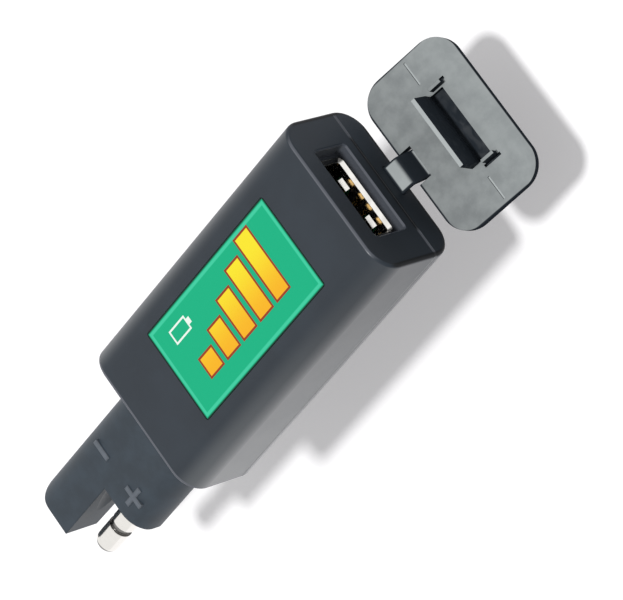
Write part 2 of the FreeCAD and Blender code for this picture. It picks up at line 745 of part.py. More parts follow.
def make_usb_insulator():
    """The block at the back of the receptacle with its tongue."""
    body = add_body("usb_insulator")
    loose = dim.fit_gap / 2
    block_front = block_back + dim.block_length + dim.block_overhang
    block = wide_outline(opening_half - loose, opening_low + loose, opening_high - loose,
                         dim.shell_corner - dim.shell_wall)
    pad(body, "block", "y", block_back, block_front, block)
    bevel = dim.tongue_chamfer
    tongue = [
        (block_front - loose, tongue_low),
        (tongue_front - bevel, tongue_low),
        (tongue_front, tongue_low + bevel),
        (tongue_front, tongue_high - bevel),
        (tongue_front - bevel, tongue_high),
        (block_front - loose, tongue_high),
    ]
    pad(body, "tongue", "x", -dim.tongue_width / 2, dim.tongue_width / 2, tongue)
    half = dim.contact_width / 2 + loose
    channels = [box_outline(place - half, contact_low - loose, place + half, tongue_low)
                for place in contact_places]
    cut(body, "channels", "y", block_back - loose, block_front + loose, *channels)
    return body


def make_usb_contacts():
    """Four strips: bowed under the tongue, then through the block and down into the board."""
    front = tongue_front - dim.tongue_chamfer - dim.contact_inset
    tail = block_back - dim.contact_thick
    nose = front - dim.contact_nose
    bow_back = front - dim.contact_nose * 4
    profile = [
        (front, contact_low),
        (front, tongue_low),
        (nose, tongue_low - dim.contact_bow),
        (bow_back, tongue_low),
        (tail, tongue_low),
        (tail, tail_low),
        (block_back, tail_low),
        (block_back, contact_low),
        (bow_back, contact_low),
        (nose, contact_low - dim.contact_bow),
    ]
    half = dim.contact_width / 2
    for number, place in enumerate(contact_places, start=1):
        body = add_body(f"usb_contact_{number}")
        pad(body, "strip", "x", place - half, place + half, profile)


# The board and its parts


def make_circuit_board():
    """The board, with slots for the receptacle's legs and holes for its contacts."""
    body = add_body("circuit_board")
    plate = box_outline(-board_half, board_back, board_half, board_front)
    pad(body, "plate", "z", board_low, board_high, plate)
    loose = dim.fit_gap
    slots = []
    for hand, turn in SIDES:
        for place in leg_places:
            along = dim.leg_width / 2 + loose
            slots.append(side_outline(turn, opening_half - loose, dim.shell_width / 2 + loose,
                                      place - along, place + along))
    for place in contact_places:
        across = dim.contact_width / 2 + loose
        tail = block_back - dim.contact_thick - loose
        slots.append(box_outline(place - across, tail, place + across, block_back + loose))
    cut(body, "slots", "z", board_low - loose, board_high + loose, *slots)
    return body


board_middle = (board_back + block_back) / 2
can_across = dim.can_inset - board_half
chip_reach = dim.chip_width / 2 + dim.chip_foot
coil_space = board_half * 2 - dim.chip_margin - chip_reach * 2 - dim.coil_room - dim.coil_margin
coil_radius = coil_space / 2
coil_wound = coil_radius - dim.coil_cover
coil_waist = coil_wound - dim.coil_depth
fuse_across = pole_axis + dim.wire_radius + dim.fuse_gap + dim.fuse_width / 2
speck_across = board_half - dim.speck_inset
INDUCTOR = (board_half - dim.coil_margin - coil_radius, board_middle)
CHIP = (dim.chip_margin + chip_reach - board_half, board_middle)
INPUT_CAN = (can_across, board_back + dim.can_back)
OUTPUT_CAN = (can_across, block_back - dim.part_gap - dim.can_radius)
DIODE = (board_half - dim.diode_inset, block_back - dim.part_gap - dim.diode_length / 2)
FUSE = (fuse_across, board_back + dim.fuse_back)
RESISTORS = [
    (speck_across, block_back - dim.part_gap - dim.speck_length / 2),
    (speck_across, block_back - dim.part_gap - dim.speck_length / 2 - dim.speck_pitch),
    (speck_across, board_back + dim.speck_back),
]


def make_inductor():
    """A drum core with its winding round the waist."""
    across, along = INDUCTOR
    core = add_body("inductor_core")
    top = ceiling - dim.coil_headroom
    drum = [
        (size(0), stand),
        (coil_radius, stand),
        (coil_radius, stand + dim.coil_flange),
        (coil_waist, stand + dim.coil_flange),
        (coil_waist, top - dim.coil_flange),
        (coil_radius, top - dim.coil_flange),
        (coil_radius, top),
        (size(0), top),
    ]
    turn_upright(core, "drum", across, along, drum)
    coil = add_body("inductor_coil")
    wound = box_outline(coil_waist, stand + dim.coil_flange, coil_wound, top - dim.coil_flange)
    turn_upright(coil, "winding", across, along, wound)


def make_can(name, place):
    """An electrolytic capacitor standing on the board."""
    across, along = place
    body = add_body(name)
    groove = dim.can_groove
    top = ceiling - dim.can_headroom
    can = [
        (size(0), stand),
        (dim.can_radius, stand),
        (dim.can_radius, stand + groove * 2),
        (dim.can_radius - groove, stand + groove * 3),
        (dim.can_radius, stand + groove * 4),
        (dim.can_radius, top - groove),
        (dim.can_radius - groove, top),
        (size(0), top),
    ]
    turn_upright(body, "can", across, along, can)


def make_regulator_chip():
    """The regulator with its eight legs."""
    body = add_body("regulator_chip")
    across, along = CHIP
    half = dim.chip_length / 2
    side = dim.chip_width / 2
    case = box_outline(across - side, along - half, across + side, along + half)
    pad(body, "package", "z", stand + dim.solder_gap, stand + dim.chip_tall, case)
    legs = []
    for step in range(4):
        middle = along + dim.chip_pitch * (step - 1.5)
        legs.append(box_outline(across - chip_reach, middle - dim.chip_leg / 2,
                                across + chip_reach, middle + dim.chip_leg / 2))
    pad(body, "legs", "z", stand, stand + dim.solder_gap * 2, *legs)


def make_block_part(name, place, length, width, tall):
    """A small moulded part with a metal end under each side."""
    body = add_body(name)
    across, along = place
    block = box_outline(across - width / 2, along - length / 2, across + width / 2,
                        along + length / 2)
    pad(body, "block", "z", stand, stand + tall, block)


def make_leads():
    """Two short leads, from the plug's terminals up onto the board."""
    start = wire_end
    level = board_high + dim.wire_radius + dim.solder_gap
    climb = board_back - dim.wire_margin
    for name, side in (("positive_lead", 1), ("negative_lead", -1)):
        body = add_body(name)
        axis = pole_axis * side
        route = add_sketch(body, "route", "x", axis)
        add_outline(route, [
            (start, dim.plug_rise),
            (climb - dim.wire_rise_run, dim.plug_rise),
            (climb, level),
            (climb + dim.wire_landing, level),
        ], closed=False)
        section = add_sketch(body, "section", "y", start)
        add_circle(section, axis, dim.plug_rise, dim.wire_radius)
        pipe = body.newObject("PartDesign::AdditivePipe", "wire")
        pipe.Profile = section
        pipe.Spine = (route, [])
        pipe.Transition = "Right corner"
        doc.recompute()


# The battery plug


def pin_root():
    """The part of the pin that the plug's moulding holds; corners are (y, radius)."""
    collar_front = short_end + dim.collar_depth
    collar_back = collar_front + dim.collar_width
    return [
        (wire_end, size(0)),
        (wire_end, dim.pin_stem),
        (collar_back, dim.pin_stem),
        (collar_back, dim.collar_radius),
        (collar_front, dim.collar_radius),
        (collar_front, dim.pin_stem),
    ]


def make_plug_body():
    """The moulded plug: flange in the case, neck, a short bare pole and a long shrouded pole."""
    body = add_body("plug_body")
    margin = dim.plug_corner
    flange = wide_outline(flange_half, flange_low, flange_high, dim.plug_corner / 2)
    pad(body, "flange", "y", cavity_back, flange_front, flange)
    pad(body, "poles", "y", long_end, flange_front - dim.flange_thick / 2, plug_outline(size(0)))
    bare_side = [
        (size(0), short_end),
        (plug_half, short_end, dim.short_corner),
        (plug_half, short_end + dim.short_corner * 2),
        (plug_half + margin, short_end + dim.short_corner * 2),
        (plug_half + margin, long_end - margin),
        (size(0), long_end - margin),
    ]
    cut(body, "bare_side", "z", plug_low - margin, plug_high + margin, bare_side)
    rounded_end = [
        (-plug_half, long_end + dim.long_corner * 2),
        (-plug_half, long_end, dim.long_corner),
        (size(0), long_end),
        (size(0), long_end - margin),
        (-plug_half - margin, long_end - margin),
        (-plug_half - margin, long_end + dim.long_corner * 2),
    ]
    cut(body, "rounded_end", "z", plug_low - margin, plug_high + margin, rounded_end)
    wedge = [
        (short_end, plug_low),
        (long_end - margin, plug_low + dim.pole_taper),
        (long_end - margin, plug_low - margin),
        (short_end, plug_low - margin),
    ]
    cut(body, "underside_taper", "x", -plug_half - margin, size(0), wedge)
    turn_along_y(body, "hollow", "Groove", pole_axis, dim.plug_rise, [
        (short_end, size(0)),
        (short_end, dim.hollow_radius),
        (short_end - dim.hollow_length, pole_axis - dim.fit_gap),
        (short_end - dim.hollow_length, size(0)),
    ])
    beyond = short_end - dim.collar_depth
    turn_along_y(body, "pin_hold", "Groove", pole_axis, dim.plug_rise, pin_root() + [
        (beyond, dim.pin_stem),
        (beyond, size(0)),
    ])
    sleeve_radius = dim.socket_radius + dim.socket_wall
    sleeve_back = long_end + dim.socket_inset + dim.socket_depth + dim.socket_floor
    turn_along_y(body, "sleeve_hold", "Groove", -pole_axis, dim.plug_rise, [
        (wire_end, size(0)),
        (wire_end, dim.tail_radius),
        (sleeve_back, dim.tail_radius),
        (sleeve_back, sleeve_radius),
        (long_end - margin, sleeve_radius),
        (long_end - margin, size(0)),
    ])
    for name, side in (("positive_hole", 1), ("negative_hole", -1)):
        drill(body, name, wire_end - dim.fit_gap, flange_front + dim.fit_gap, pole_axis * side,
              dim.plug_rise, dim.wire_radius)


def make_pin_terminal():
    """The bare pin: collar, straight shank, groove and rounded head."""
    body = add_body("pin_terminal")
    shank_start = short_end - dim.pin_start
    shank_end = short_end - dim.pin_shank
    tip = short_end - dim.pin_length
    head_start = shank_end - dim.pin_groove
    turn_along_y(body, "pin", "Revolution", pole_axis, dim.plug_rise, pin_root() + [
        (shank_start, dim.pin_stem),
        (shank_start, dim.pin_radius),
        (shank_end, dim.pin_radius),
        (shank_end, dim.pin_neck),
        (head_start, dim.pin_neck),
        (head_start, dim.pin_head),
        (tip, dim.pin_head, dim.pin_tip),
        (tip, size(0)),
    ])


def make_socket_terminal():
    """The brass sleeve that takes another plug's pin."""
    body = add_body("socket_terminal")
    front = long_end + dim.socket_inset
    floor = front + dim.socket_depth
    back = floor + dim.socket_floor
    outer = dim.socket_radius + dim.socket_wall
    turn_along_y(body, "sleeve", "Revolution", -pole_axis, dim.plug_rise, [
        (front, dim.socket_radius),
        (front, outer),
        (back, outer),
        (back, dim.tail_radius),
        (wire_end, dim.tail_radius),
        (wire_end, size(0)),
        (floor, size(0)),
        (floor, dim.socket_radius),
    ])


# The cap and its strap


def swung(along, up):
    """Where a point of the closed cap, measured from the hinge axis, lies when it hangs open."""
    cos = cosine(dim.cap_angle)
    sin = sine(dim.cap_angle)
    return hinge_along + along * cos + up * sin, hinge_height - along * sin + up * cos


cap_inner = dim.cap_gap - dim.hinge_reach
cap_outer = cap_inner + dim.cap_thick
notch_end = dim.hinge_drop + dim.notch_depth


def make_strap_anchor():
    """The strap's root: a tab through the end wall with a head behind it."""
    body = add_body("strap_anchor")
    tab = wide_outline(strap_half, strap_low, dim.strap_rise)
    pad(body, "tab", "y", cavity_front - dim.fit_gap, port_face, tab)
    head_low = dim.case_wall + dim.fit_gap
    head = wide_outline(dim.anchor_width / 2, head_low, head_low + dim.anchor_tall)
    head_front = cavity_front - dim.fit_gap / 2
    pad(body, "head", "y", head_front - dim.anchor_thick, head_front, head)


def make_cap_strap():
    """The strap, from its root round two bends to the cap's notch."""
    body = add_body("cap_strap")
    half = dim.strap_thick / 2
    mitre = dim.strap_thick * 0.4
    rides = cap_outer - half
    out = port_face + dim.shoulder_out
    fall = dim.strap_rise - half - dim.shoulder_fall
    ankle_out, ankle_up = swung(rides, notch_end - dim.ankle_run)
    side = [
        (port_face, dim.strap_rise),
        (out + mitre, fall + mitre, dim.shoulder_bend + half),
        (ankle_out + mitre, ankle_up + mitre, dim.ankle_bend - half),
        swung(rides - half, notch_end),
        swung(rides + half, notch_end),
        (ankle_out - mitre, ankle_up - mitre, dim.ankle_bend + half),
        (out - mitre, fall - mitre, dim.shoulder_bend - half),
        (port_face, strap_low),
    ]
    pad(body, "band", "x", -strap_half, strap_half, side)


def make_port_cap():
    """The cap, drawn closed about the hinge axis and then swung open."""
    body = add_body("port_cap")
    base = dim.hinge_drop
    plate = wide_outline(half_width, base, base + dim.case_height, dim.case_corner)
    pad(body, "plate", "y", cap_inner, cap_outer, plate)
    outer_place = cap_outer.number
    bevel_where(body, "outer_bevel", dim.cap_edge, lambda edge: lies_at(edge, outer_place))
    notch = wide_outline(dim.notch_width / 2, base - dim.notch_depth, notch_end)
    cut(body, "notch", "y", cap_inner - dim.cap_thick, cap_outer + dim.cap_thick, notch)
    seat = dim.cap_thick / 4
    low = base + opening_low + dim.stopper_play + dim.finger_bump
    high = base + contact_low - dim.stopper_play
    tip = cap_inner - dim.stopper_height
    stopper = [
        (cap_inner + seat, low),
        (tip, low),
        (tip, high - dim.stopper_bevel),
        (tip + dim.stopper_bevel_run, high),
        (cap_inner + seat, high),
    ]
    stopper_half = opening_half - dim.stopper_play
    pad(body, "stopper", "x", -stopper_half, stopper_half, stopper)
    pocket_half = dim.tongue_width / 2 + dim.pocket_side
    pocket = wide_outline(pocket_half, high, base + tongue_high + dim.fit_gap)
    cut(body, "tongue_pocket", "y", cap_inner, cap_inner + dim.pocket_depth, pocket)
    ear_low = high + dim.ear_inset
    for hand in (-1, 1):
        name = "left" if hand < 0 else "right"
        middle = (opening_half + dim.shell_wall) * hand
        half = dim.ear_thick / 2
        ear = box_outline(middle - half, ear_low, middle + half, ear_low + dim.ear_length)
        pad(body, f"ear_{name}", "y", cap_inner - dim.ear_height, cap_inner + seat, ear)
        slit_middle = middle + (half + dim.slit_width / 2) * hand
        slit = box_outline(slit_middle - dim.slit_width / 2, ear_low - dim.slit_margin,
                           slit_middle + dim.slit_width / 2,
                           ear_low + dim.ear_length + dim.slit_margin)
        cut(body, f"slit_{name}", "y", cap_inner, cap_inner + dim.slit_depth, slit)
        crease_middle = (half_width - dim.crease_margin - dim.crease_length / 2) * hand
        crease = box_outline(crease_middle - dim.crease_length / 2, high - dim.crease_width,
                             crease_middle + dim.crease_length / 2, high)
        cut(body, f"crease_{name}", "y", cap_inner, cap_inner + dim.crease_depth, crease)
    body.Placement = FreeCAD.Placement(FreeCAD.Vector(0, 0, 0),
                                       FreeCAD.Rotation(FreeCAD.Vector(1, 0, 0), 0))
    body.setExpression("Placement.Base.y", hinge_along.text)
    body.setExpression("Placement.Base.z", hinge_height.text)
    body.setExpression("Placement.Rotation.Angle", (-dim.cap_angle).text)


make_upper_shell()
make_lower_shell()
make_label()
make_usb_shell()
make_usb_insulator()
make_usb_contacts()
make_circuit_board()
make_inductor()
make_can("input_capacitor", INPUT_CAN)
make_can("output_capacitor", OUTPUT_CAN)
make_regulator_chip()
make_block_part("diode", DIODE, dim.diode_length, dim.diode_width, dim.diode_tall)
make_block_part("resettable_fuse", FUSE, dim.fuse_length, dim.fuse_width, dim.fuse_tall)
for count, spot in enumerate(RESISTORS, start=1):
    make_block_part(f"chip_resistor_{count}", spot, dim.speck_length, dim.speck_width,
                    dim.speck_tall)
make_leads()
make_plug_body()
make_pin_terminal()
make_socket_terminal()
make_strap_anchor()
make_cap_strap()
make_port_cap()
doc.recompute()


# Every object is checked before anything is written

for item in doc.Objects:
    if "Invalid" in item.State or "Error" in item.State:
        raise RuntimeError(f"{item.Name} failed: {item.State}")
for body in bodies:
    shape = body.Shape
    if shape.isNull() or not shape.isValid():
        raise RuntimeError(f"{body.Label} has no sound shape")
    if len(shape.Solids) != 1:
        raise RuntimeError(f"{body.Label} is {len(shape.Solids)} solids")

os.makedirs("parts", exist_ok=True)
for body in bodies:
    body.Shape.exportStep(f"parts/{body.Label}.step")
    print(body.Label, round(body.Shape.Volume, 2))
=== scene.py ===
"""Dresses the packed in-line USB charger: its case, label, port, battery plug, strap and cap."""

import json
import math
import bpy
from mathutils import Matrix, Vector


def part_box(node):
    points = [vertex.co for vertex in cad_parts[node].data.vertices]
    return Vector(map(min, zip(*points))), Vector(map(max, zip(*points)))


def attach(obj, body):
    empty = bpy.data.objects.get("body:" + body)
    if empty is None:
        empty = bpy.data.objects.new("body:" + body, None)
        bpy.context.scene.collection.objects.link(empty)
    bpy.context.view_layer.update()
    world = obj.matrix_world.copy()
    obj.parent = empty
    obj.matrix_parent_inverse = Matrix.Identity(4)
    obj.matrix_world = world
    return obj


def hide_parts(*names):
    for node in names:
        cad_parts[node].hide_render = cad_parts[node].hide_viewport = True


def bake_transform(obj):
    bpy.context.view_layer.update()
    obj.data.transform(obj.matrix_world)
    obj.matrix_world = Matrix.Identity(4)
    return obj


bl_info = {
    "name": "In-line USB charger",
    "version": (1, 0, 0),
    "blender": (4, 5, 0),
    "location": "3D View > Sidebar > Charger",
    "description": "Materials, label print, plug marks, strap and cap of a charger, in a studio",
    "category": "Object",
}

import bmesh
import bpy
from bpy.props import FloatProperty, FloatVectorProperty, IntProperty, PointerProperty
from mathutils import Matrix, Vector

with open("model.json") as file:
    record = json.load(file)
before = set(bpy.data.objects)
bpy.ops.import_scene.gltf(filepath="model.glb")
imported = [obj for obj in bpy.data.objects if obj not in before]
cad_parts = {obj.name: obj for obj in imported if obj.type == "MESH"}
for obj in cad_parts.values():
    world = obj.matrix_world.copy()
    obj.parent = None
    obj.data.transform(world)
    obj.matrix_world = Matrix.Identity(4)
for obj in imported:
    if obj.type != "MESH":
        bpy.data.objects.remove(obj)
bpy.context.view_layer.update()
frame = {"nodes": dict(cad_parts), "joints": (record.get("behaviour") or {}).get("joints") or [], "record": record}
NODES = frame["nodes"]

MM = 0.001


# Places on the packed part that the finishes and the scene's own pieces line up with

CASE_HALF_WIDTH, CASE_HALF_HEIGHT = 13.25 * MM, 8.25 * MM
OUTLINE_CORNER = 3.6 * MM
PORT_HALF_WIDTH, PORT_DEPTH = 7.7 * MM, 2.3 * MM
PORT_BOTTOM, PORT_TOP = 6.3 * MM, 13.2 * MM
PLUG_HALF_THICKNESS = 7.7 * MM / 2
MINUS_SPOT, PLUS_SPOT = (-4.4 * MM, -42.25 * MM), (4.45 * MM, -42.35 * MM)
CHIP_HALF_WIDTH = 1.96 * MM

# The strap's corners from the case to the cap, along and up from the frame's origin
STRAP_CORNERS = ((27.10 * MM, 2.15 * MM), (29.2 * MM, 1.52 * MM),
                 (29.996 * MM, -1.308 * MM), (30.80 * MM, -1.60 * MM))
# Where the strap's painted sheen starts; nearer the case it is left off, so the strap stays dark there as painted
# shade
STRAP_FREE_FROM = 27.4 * MM

# The cap at rest: how far it has swung open, and its middle as it is when closed
CAP_OPENED = math.radians(110)
CAP_MIDDLE_FROM_HINGE = Vector((0, -0.94 * MM, 8.66 * MM))


# Sizes and colours that a user may change


def colour(name, description, red, green, blue):
    """A colour property, in linear red, green and blue."""
    return FloatVectorProperty(
        name=name, description=description, subtype="COLOR", size=3,
        min=0.0, max=1.0, default=(red, green, blue),
    )


def length(name, description, millimetres):
    """A length property; the default is given in millimetres."""
    return FloatProperty(
        name=name, description=description, subtype="DISTANCE", unit="LENGTH",
        min=0.0, default=millimetres * MM, precision=5,
    )


def share(name, description, default):
    """A property between 0 and 1."""
    return FloatProperty(
        name=name, description=description, subtype="FACTOR", min=0.0, max=1.0, default=default
    )


def strength(name, description, default):
    """The strength of a light."""
    return FloatProperty(name=name, description=description, min=0.0, default=default)


class CaseLooks(bpy.types.PropertyGroup):
    """The moulded case."""

    plastic: colour("Plastic", "Colour of the moulded case", 0.021, 0.028, 0.037)
    sheen: share("Roughness", "Roughness of the satin surface", 0.42)
    side_sheen: share("Side sheen", "Extra gloss of the case's two sides", 0.72)
    # The side tone is a painted reflection: a paler colour standing in for the light the sides reflect
    glow: colour("Side tone", "Paler tone towards the case's two sides", 0.17, 0.18, 0.187)
    # This colour is a painted highlight on the top edges of both ends, the seams and the port's recess walls
    painted_highlight: colour("Rubbed edge", "Paler plastic on rubbed edges", 0.105, 0.112, 0.13)
    grain: length("Grain", "Size of the moulded texture", 0.22)
    edge: length("Edge", "How soft the moulded edges look", 0.14)
    # The seam width is that of a painted highlight along the joint of the shells
    seam: length("Seam", "Width of the rubbed line where the shells meet", 0.4)


class LabelLooks(bpy.types.PropertyGroup):
    """The printed label."""

    field: colour("Field", "Ground colour of the print", 0.012, 0.42, 0.21)
    border: colour("Border", "Thin line round the field", 0.05, 0.55, 0.32)
    bar: colour("Bars", "Fill of the level bars", 0.86, 0.72, 0.03)
    bar_foot: colour("Bar feet", "Fill at the feet of the level bars", 0.85, 0.42, 0.02)
    outline: colour("Bar outline", "Keyline of the level bars", 0.30, 0.045, 0.02)
    # The cut edge is painted shade: a dark band round the film where the gap round the label shades it
    rim: colour("Cut edge", "Dark cut edge of the film", 0.01, 0.05, 0.03)
    sign: colour("Battery sign", "Pale print of the small battery sign", 0.80, 0.86, 0.80)
    border_width: length("Border width", "Width of the thin line", 0.2)
    bars: IntProperty(name="Bar count", description="How many level bars", min=1, default=5)
    bar_pitch: length("Bar pitch", "From one level bar to the next", 4.6)
    bar_width: length("Bar width", "Width of a level bar", 3.1)
    bar_rise: length("Bar rise", "How much taller each bar is than the last", 1.95)
    bar_first: length("First bar", "Height of the first bar", 3.0)
    keyline: length("Keyline", "Width of the bars' outline", 0.35)


class PortLooks(bpy.types.PropertyGroup):
    """The receptacle."""

    steel: colour("Steel", "Colour of the folded shell", 0.95, 0.93, 0.89)
    gold: colour("Gold", "Colour of the contacts", 0.86, 0.57, 0.22)
    nylon: colour("Insulator", "Colour of the tongue and block", 0.018, 0.018, 0.02)


class PlugLooks(bpy.types.PropertyGroup):
    """The battery plug and its terminals."""

    rubber: colour("Plug", "Colour of the moulded plug", 0.026, 0.037, 0.049)
    nickel: colour("Nickel", "Colour of the plated pin", 0.86, 0.84, 0.80)
    # Painted dark reflection and shade on the pin, in its groove and round its tip
    dark_reflection: share("Tarnish", "How dark the pin is in its groove and round its tip", 0.8)
    brass: colour("Brass", "Colour of the socket's sleeve", 0.78, 0.56, 0.26)
    mark_length: length("Mark length", "Length of the minus mark", 3.6)
    mark_width: length("Mark width", "Width of a mark's stroke", 0.9)
    mark_height: length("Mark height", "How far a mark stands up", 0.34)
    mark: colour("Marks", "Paler rubber on the raised marks", 0.105, 0.12, 0.14)
    plus_length: length("Plus length", "Length of the plus mark's arms, end to end", 3.9)


class CapLooks(bpy.types.PropertyGroup):
    """The cap and its strap."""

    # The face colour and its blotches are a painted sheen: grey standing in for light that the dark rubber
    # reflects
    face: colour("Face", "Chalky inner face of the cap", 0.262, 0.28, 0.28)
    blotch: colour("Blotches", "Darker blotches on that face", 0.195, 0.21, 0.212)
    rim: colour("Rim", "Dark rubber of rim, back, pocket and strap", 0.020, 0.025, 0.031)
    edge: length("Edge", "Rounding of the cap's edges", 0.2)
    blotch_size: length("Blotch size", "Size of the blotches", 2.9)
    strap_width: length("Strap width", "Width of the strap", 4.9)
    strap_thick: length("Strap thickness", "Thickness of the strap", 0.76)


class InsideLooks(bpy.types.PropertyGroup):
    """The circuit board and what stands on it."""

    resist: colour("Board", "Solder resist of the board", 0.012, 0.13, 0.05)
    track: colour("Tracks", "Resist over the copper tracks", 0.03, 0.24, 0.09)
    tin: colour("Solder", "Tinned pads and solder joints", 0.70, 0.71, 0.72)
    wire: colour("Wire", "Enamelled copper wire", 0.62, 0.24, 0.08)
    can: colour("Can", "Aluminium cans", 0.76, 0.77, 0.79)
    ferrite: colour("Ferrite", "Sintered core of the inductor", 0.035, 0.035, 0.037)
    block: colour("Blocks", "Moulded bodies of the small parts", 0.02, 0.02, 0.022)
    red: colour("Red lead", "Insulation of the positive lead", 0.42, 0.02, 0.018)
    black: colour("Black lead", "Insulation of the negative lead", 0.012, 0.012, 0.013)
    turns: IntProperty(name="Turns", description="Turns of wire that show", min=2, default=7)


class StageLooks(bpy.types.PropertyGroup):
    """The studio round the object."""

    floor: colour("Floor", "Colour of the floor", 0.80, 0.795, 0.80)
    drop: length("Drop", "How far the floor lies under the case", 20.0)
    key: strength("Key light", "Strength of the key light", 2.3)
    ambient: strength("Ambient", "Strength of the even light", 0.42)
    lift: strength("Floor lift", "Whiteness added to the floor", 0.265)


# Shader maths


class Value:
    """A socket of a node tree on which plain arithmetic adds Math nodes."""

    def __init__(self, nodes, socket):
        self.nodes = nodes
        self.socket = socket

    def maths(self, operation, *values):
        return self.nodes.node("ShaderNodeMath", {"operation": operation}, values)

    def __add__(self, other):
        return self.maths("ADD", self, other)

    def __sub__(self, other):
        return self.maths("SUBTRACT", self, other)

    def __rsub__(self, other):
        return self.maths("SUBTRACT", other, self)

    def __mul__(self, other):
        return self.maths("MULTIPLY", self, other)

    def __truediv__(self, other):
        return self.maths("DIVIDE", self, other)

    def __rtruediv__(self, other):
        return self.maths("DIVIDE", other, self)

    def __lt__(self, other):
        return self.maths("LESS_THAN", self, other)

    def __gt__(self, other):
        return self.maths("GREATER_THAN", self, other)

    def size(self):
        return self.maths("ABSOLUTE", self)

    def floor(self):
        return self.maths("FLOOR", self)

    def fraction(self):
        return self.maths("FRACT", self)

    def either(self, other):
        return self.maths("MAXIMUM", self, other)

    def both(self, other):
        return self.maths("MINIMUM", self, other)

    def root(self):
        return self.maths("SQRT", self)

    __radd__ = __add__
    __rmul__ = __mul__


class Nodes:
    """The nodes of a material, a world or a geometry tree."""

    def __init__(self, tree, output, socket="Surface"):
        self.tree = tree
        tree.nodes.clear()
        self.output = tree.nodes.new(output).inputs[socket]

    def fill(self, socket, value):
        """Sets a socket to a number or colour, or links a value to it."""
        if isinstance(value, Value):
            self.tree.links.new(value.socket, socket)
        elif socket.type == "RGBA":
            socket.default_value = (*value, 1.0)
        else:
            socket.default_value = value

    def node(self, kind, settings=None, values=(), output=0):
        """Adds a node: its settings first, then its sockets by number or name."""
        made = self.tree.nodes.new(kind)
        for key, value in (settings or {}).items():
            setattr(made, key, value)
        pairs = values.items() if isinstance(values, dict) else enumerate(values)
        for key, value in pairs:
            self.fill(made.inputs[key], value)
        return Value(self, made.outputs[output])

    def seen_directly(self):
        """1 for what the camera sees, also in a reflection or through glass."""
        rays = [self.node("ShaderNodeLightPath", output=f"Is {kind} Ray")
                for kind in ("Camera", "Glossy", "Transmission")]
        return rays[0].either(rays[1]).either(rays[2])


class Finish(Nodes):
    """One material: its shader, and the nodes that give it its detail."""

    def __init__(self, name, **constants):
        self.material = bpy.data.materials.new(name)
        self.material.use_nodes = True
        super().__init__(self.material.node_tree, "ShaderNodeOutputMaterial")
        self.shader = self.tree.nodes.new("ShaderNodeBsdfPrincipled")
        self.tree.links.new(self.shader.outputs[0], self.output)
        for key, value in constants.items():
            self.set(key.replace("_", " "), value)

    def set(self, name, value):
        """Sets or links one socket of the shader."""
        self.fill(self.shader.inputs[name], value)

    def place(self, centre=(0, 0, 0), turn=(0, 0, 0), stretch=(1, 1, 1)):
        """Object coordinates measured from a centre, then stretched or turned."""
        seen = self.node("ShaderNodeTexCoord", output="Object")
        moved = self.node("ShaderNodeVectorMath", {"operation": "SUBTRACT"},
                          (seen, tuple(centre)))
        return self.node("ShaderNodeMapping", {"vector_type": "POINT"},
                         {"Vector": moved, "Rotation": turn, "Scale": stretch})

    def axes(self, place):
        """The three coordinates of a place."""
        return [self.node("ShaderNodeSeparateXYZ", values=(place,), output=i) for i in range(3)]

    def facing(self, *axis):
        """How far the surface faces along an axis of its piece, between -1 and 1."""
        normal = self.node("ShaderNodeTexCoord", output="Normal")
        return self.node("ShaderNodeVectorMath", {"operation": "DOT_PRODUCT"},
                         (normal, tuple(axis)), output="Value")

    def band(self, value, low, high, blur):
        """1 where a value lies between two limits, with a soft start and end."""
        return self.step(value, low - blur, low) * (1 - self.step(value, high, high + blur))

    def from_outline(self, across, up):
        """How far inside the case's or the cap's outline a place lies, seen from its middle."""
        past_side = across.size() - (CASE_HALF_WIDTH - OUTLINE_CORNER)
        past_end = up.size() - (CASE_HALF_HEIGHT - OUTLINE_CORNER)
        side, end = past_side.either(0), past_end.either(0)
        beyond = (side * side + end * end).root() + past_side.either(past_end).both(0)
        return OUTLINE_CORNER - beyond

    def box_fill(self, across, along, centre, half):
        """1 inside a rectangle given by its centre and half sizes."""
        return ((across - centre[0]).size() < half[0]) * ((along - centre[1]).size() < half[1])

    def box_line(self, across, along, centre, half, width):
        """1 on a rectangle's outline."""
        inner = self.box_fill(across, along, centre, [size - width for size in half])
        return self.box_fill(across, along, centre, half) - inner

    def noise(self, place, size, detail=3.0, rough=0.5, distortion=0.0):
        """Noise between 0 and 1 whose lumps are about the given size, in metres."""
        return self.node("ShaderNodeTexNoise", None, {
            "Vector": place, "Scale": 1.0 / size, "Detail": detail, "Roughness": rough,
            "Distortion": distortion,
        })

    def step(self, value, low, high):
        """0 below low, 1 above high and a smooth rise between."""
        return self.node("ShaderNodeMapRange", {"interpolation_type": "SMOOTHSTEP"},
                         {"Value": value, "From Min": low, "From Max": high})

    def mix(self, factor, first, second):
        """A colour that goes from the first to the second."""
        colour_sockets = {0: factor, 6: first, 7: second}
        return self.node("ShaderNodeMix", {"data_type": "RGBA"}, colour_sockets, output=2)

    def bump(self, height, distance, strength, base=None):
        """A bumped normal; the distance is the real height of the bump."""
        values = {"Strength": strength, "Distance": distance, "Height": height}
        if base is not None:
            values["Normal"] = base
        return self.node("ShaderNodeBump", None, values)

    def soft_edge(self, radius):
        """Normals that round off sharp edges by the given radius."""
        return self.node("ShaderNodeBevel", {"samples": 6}, {"Radius": radius})


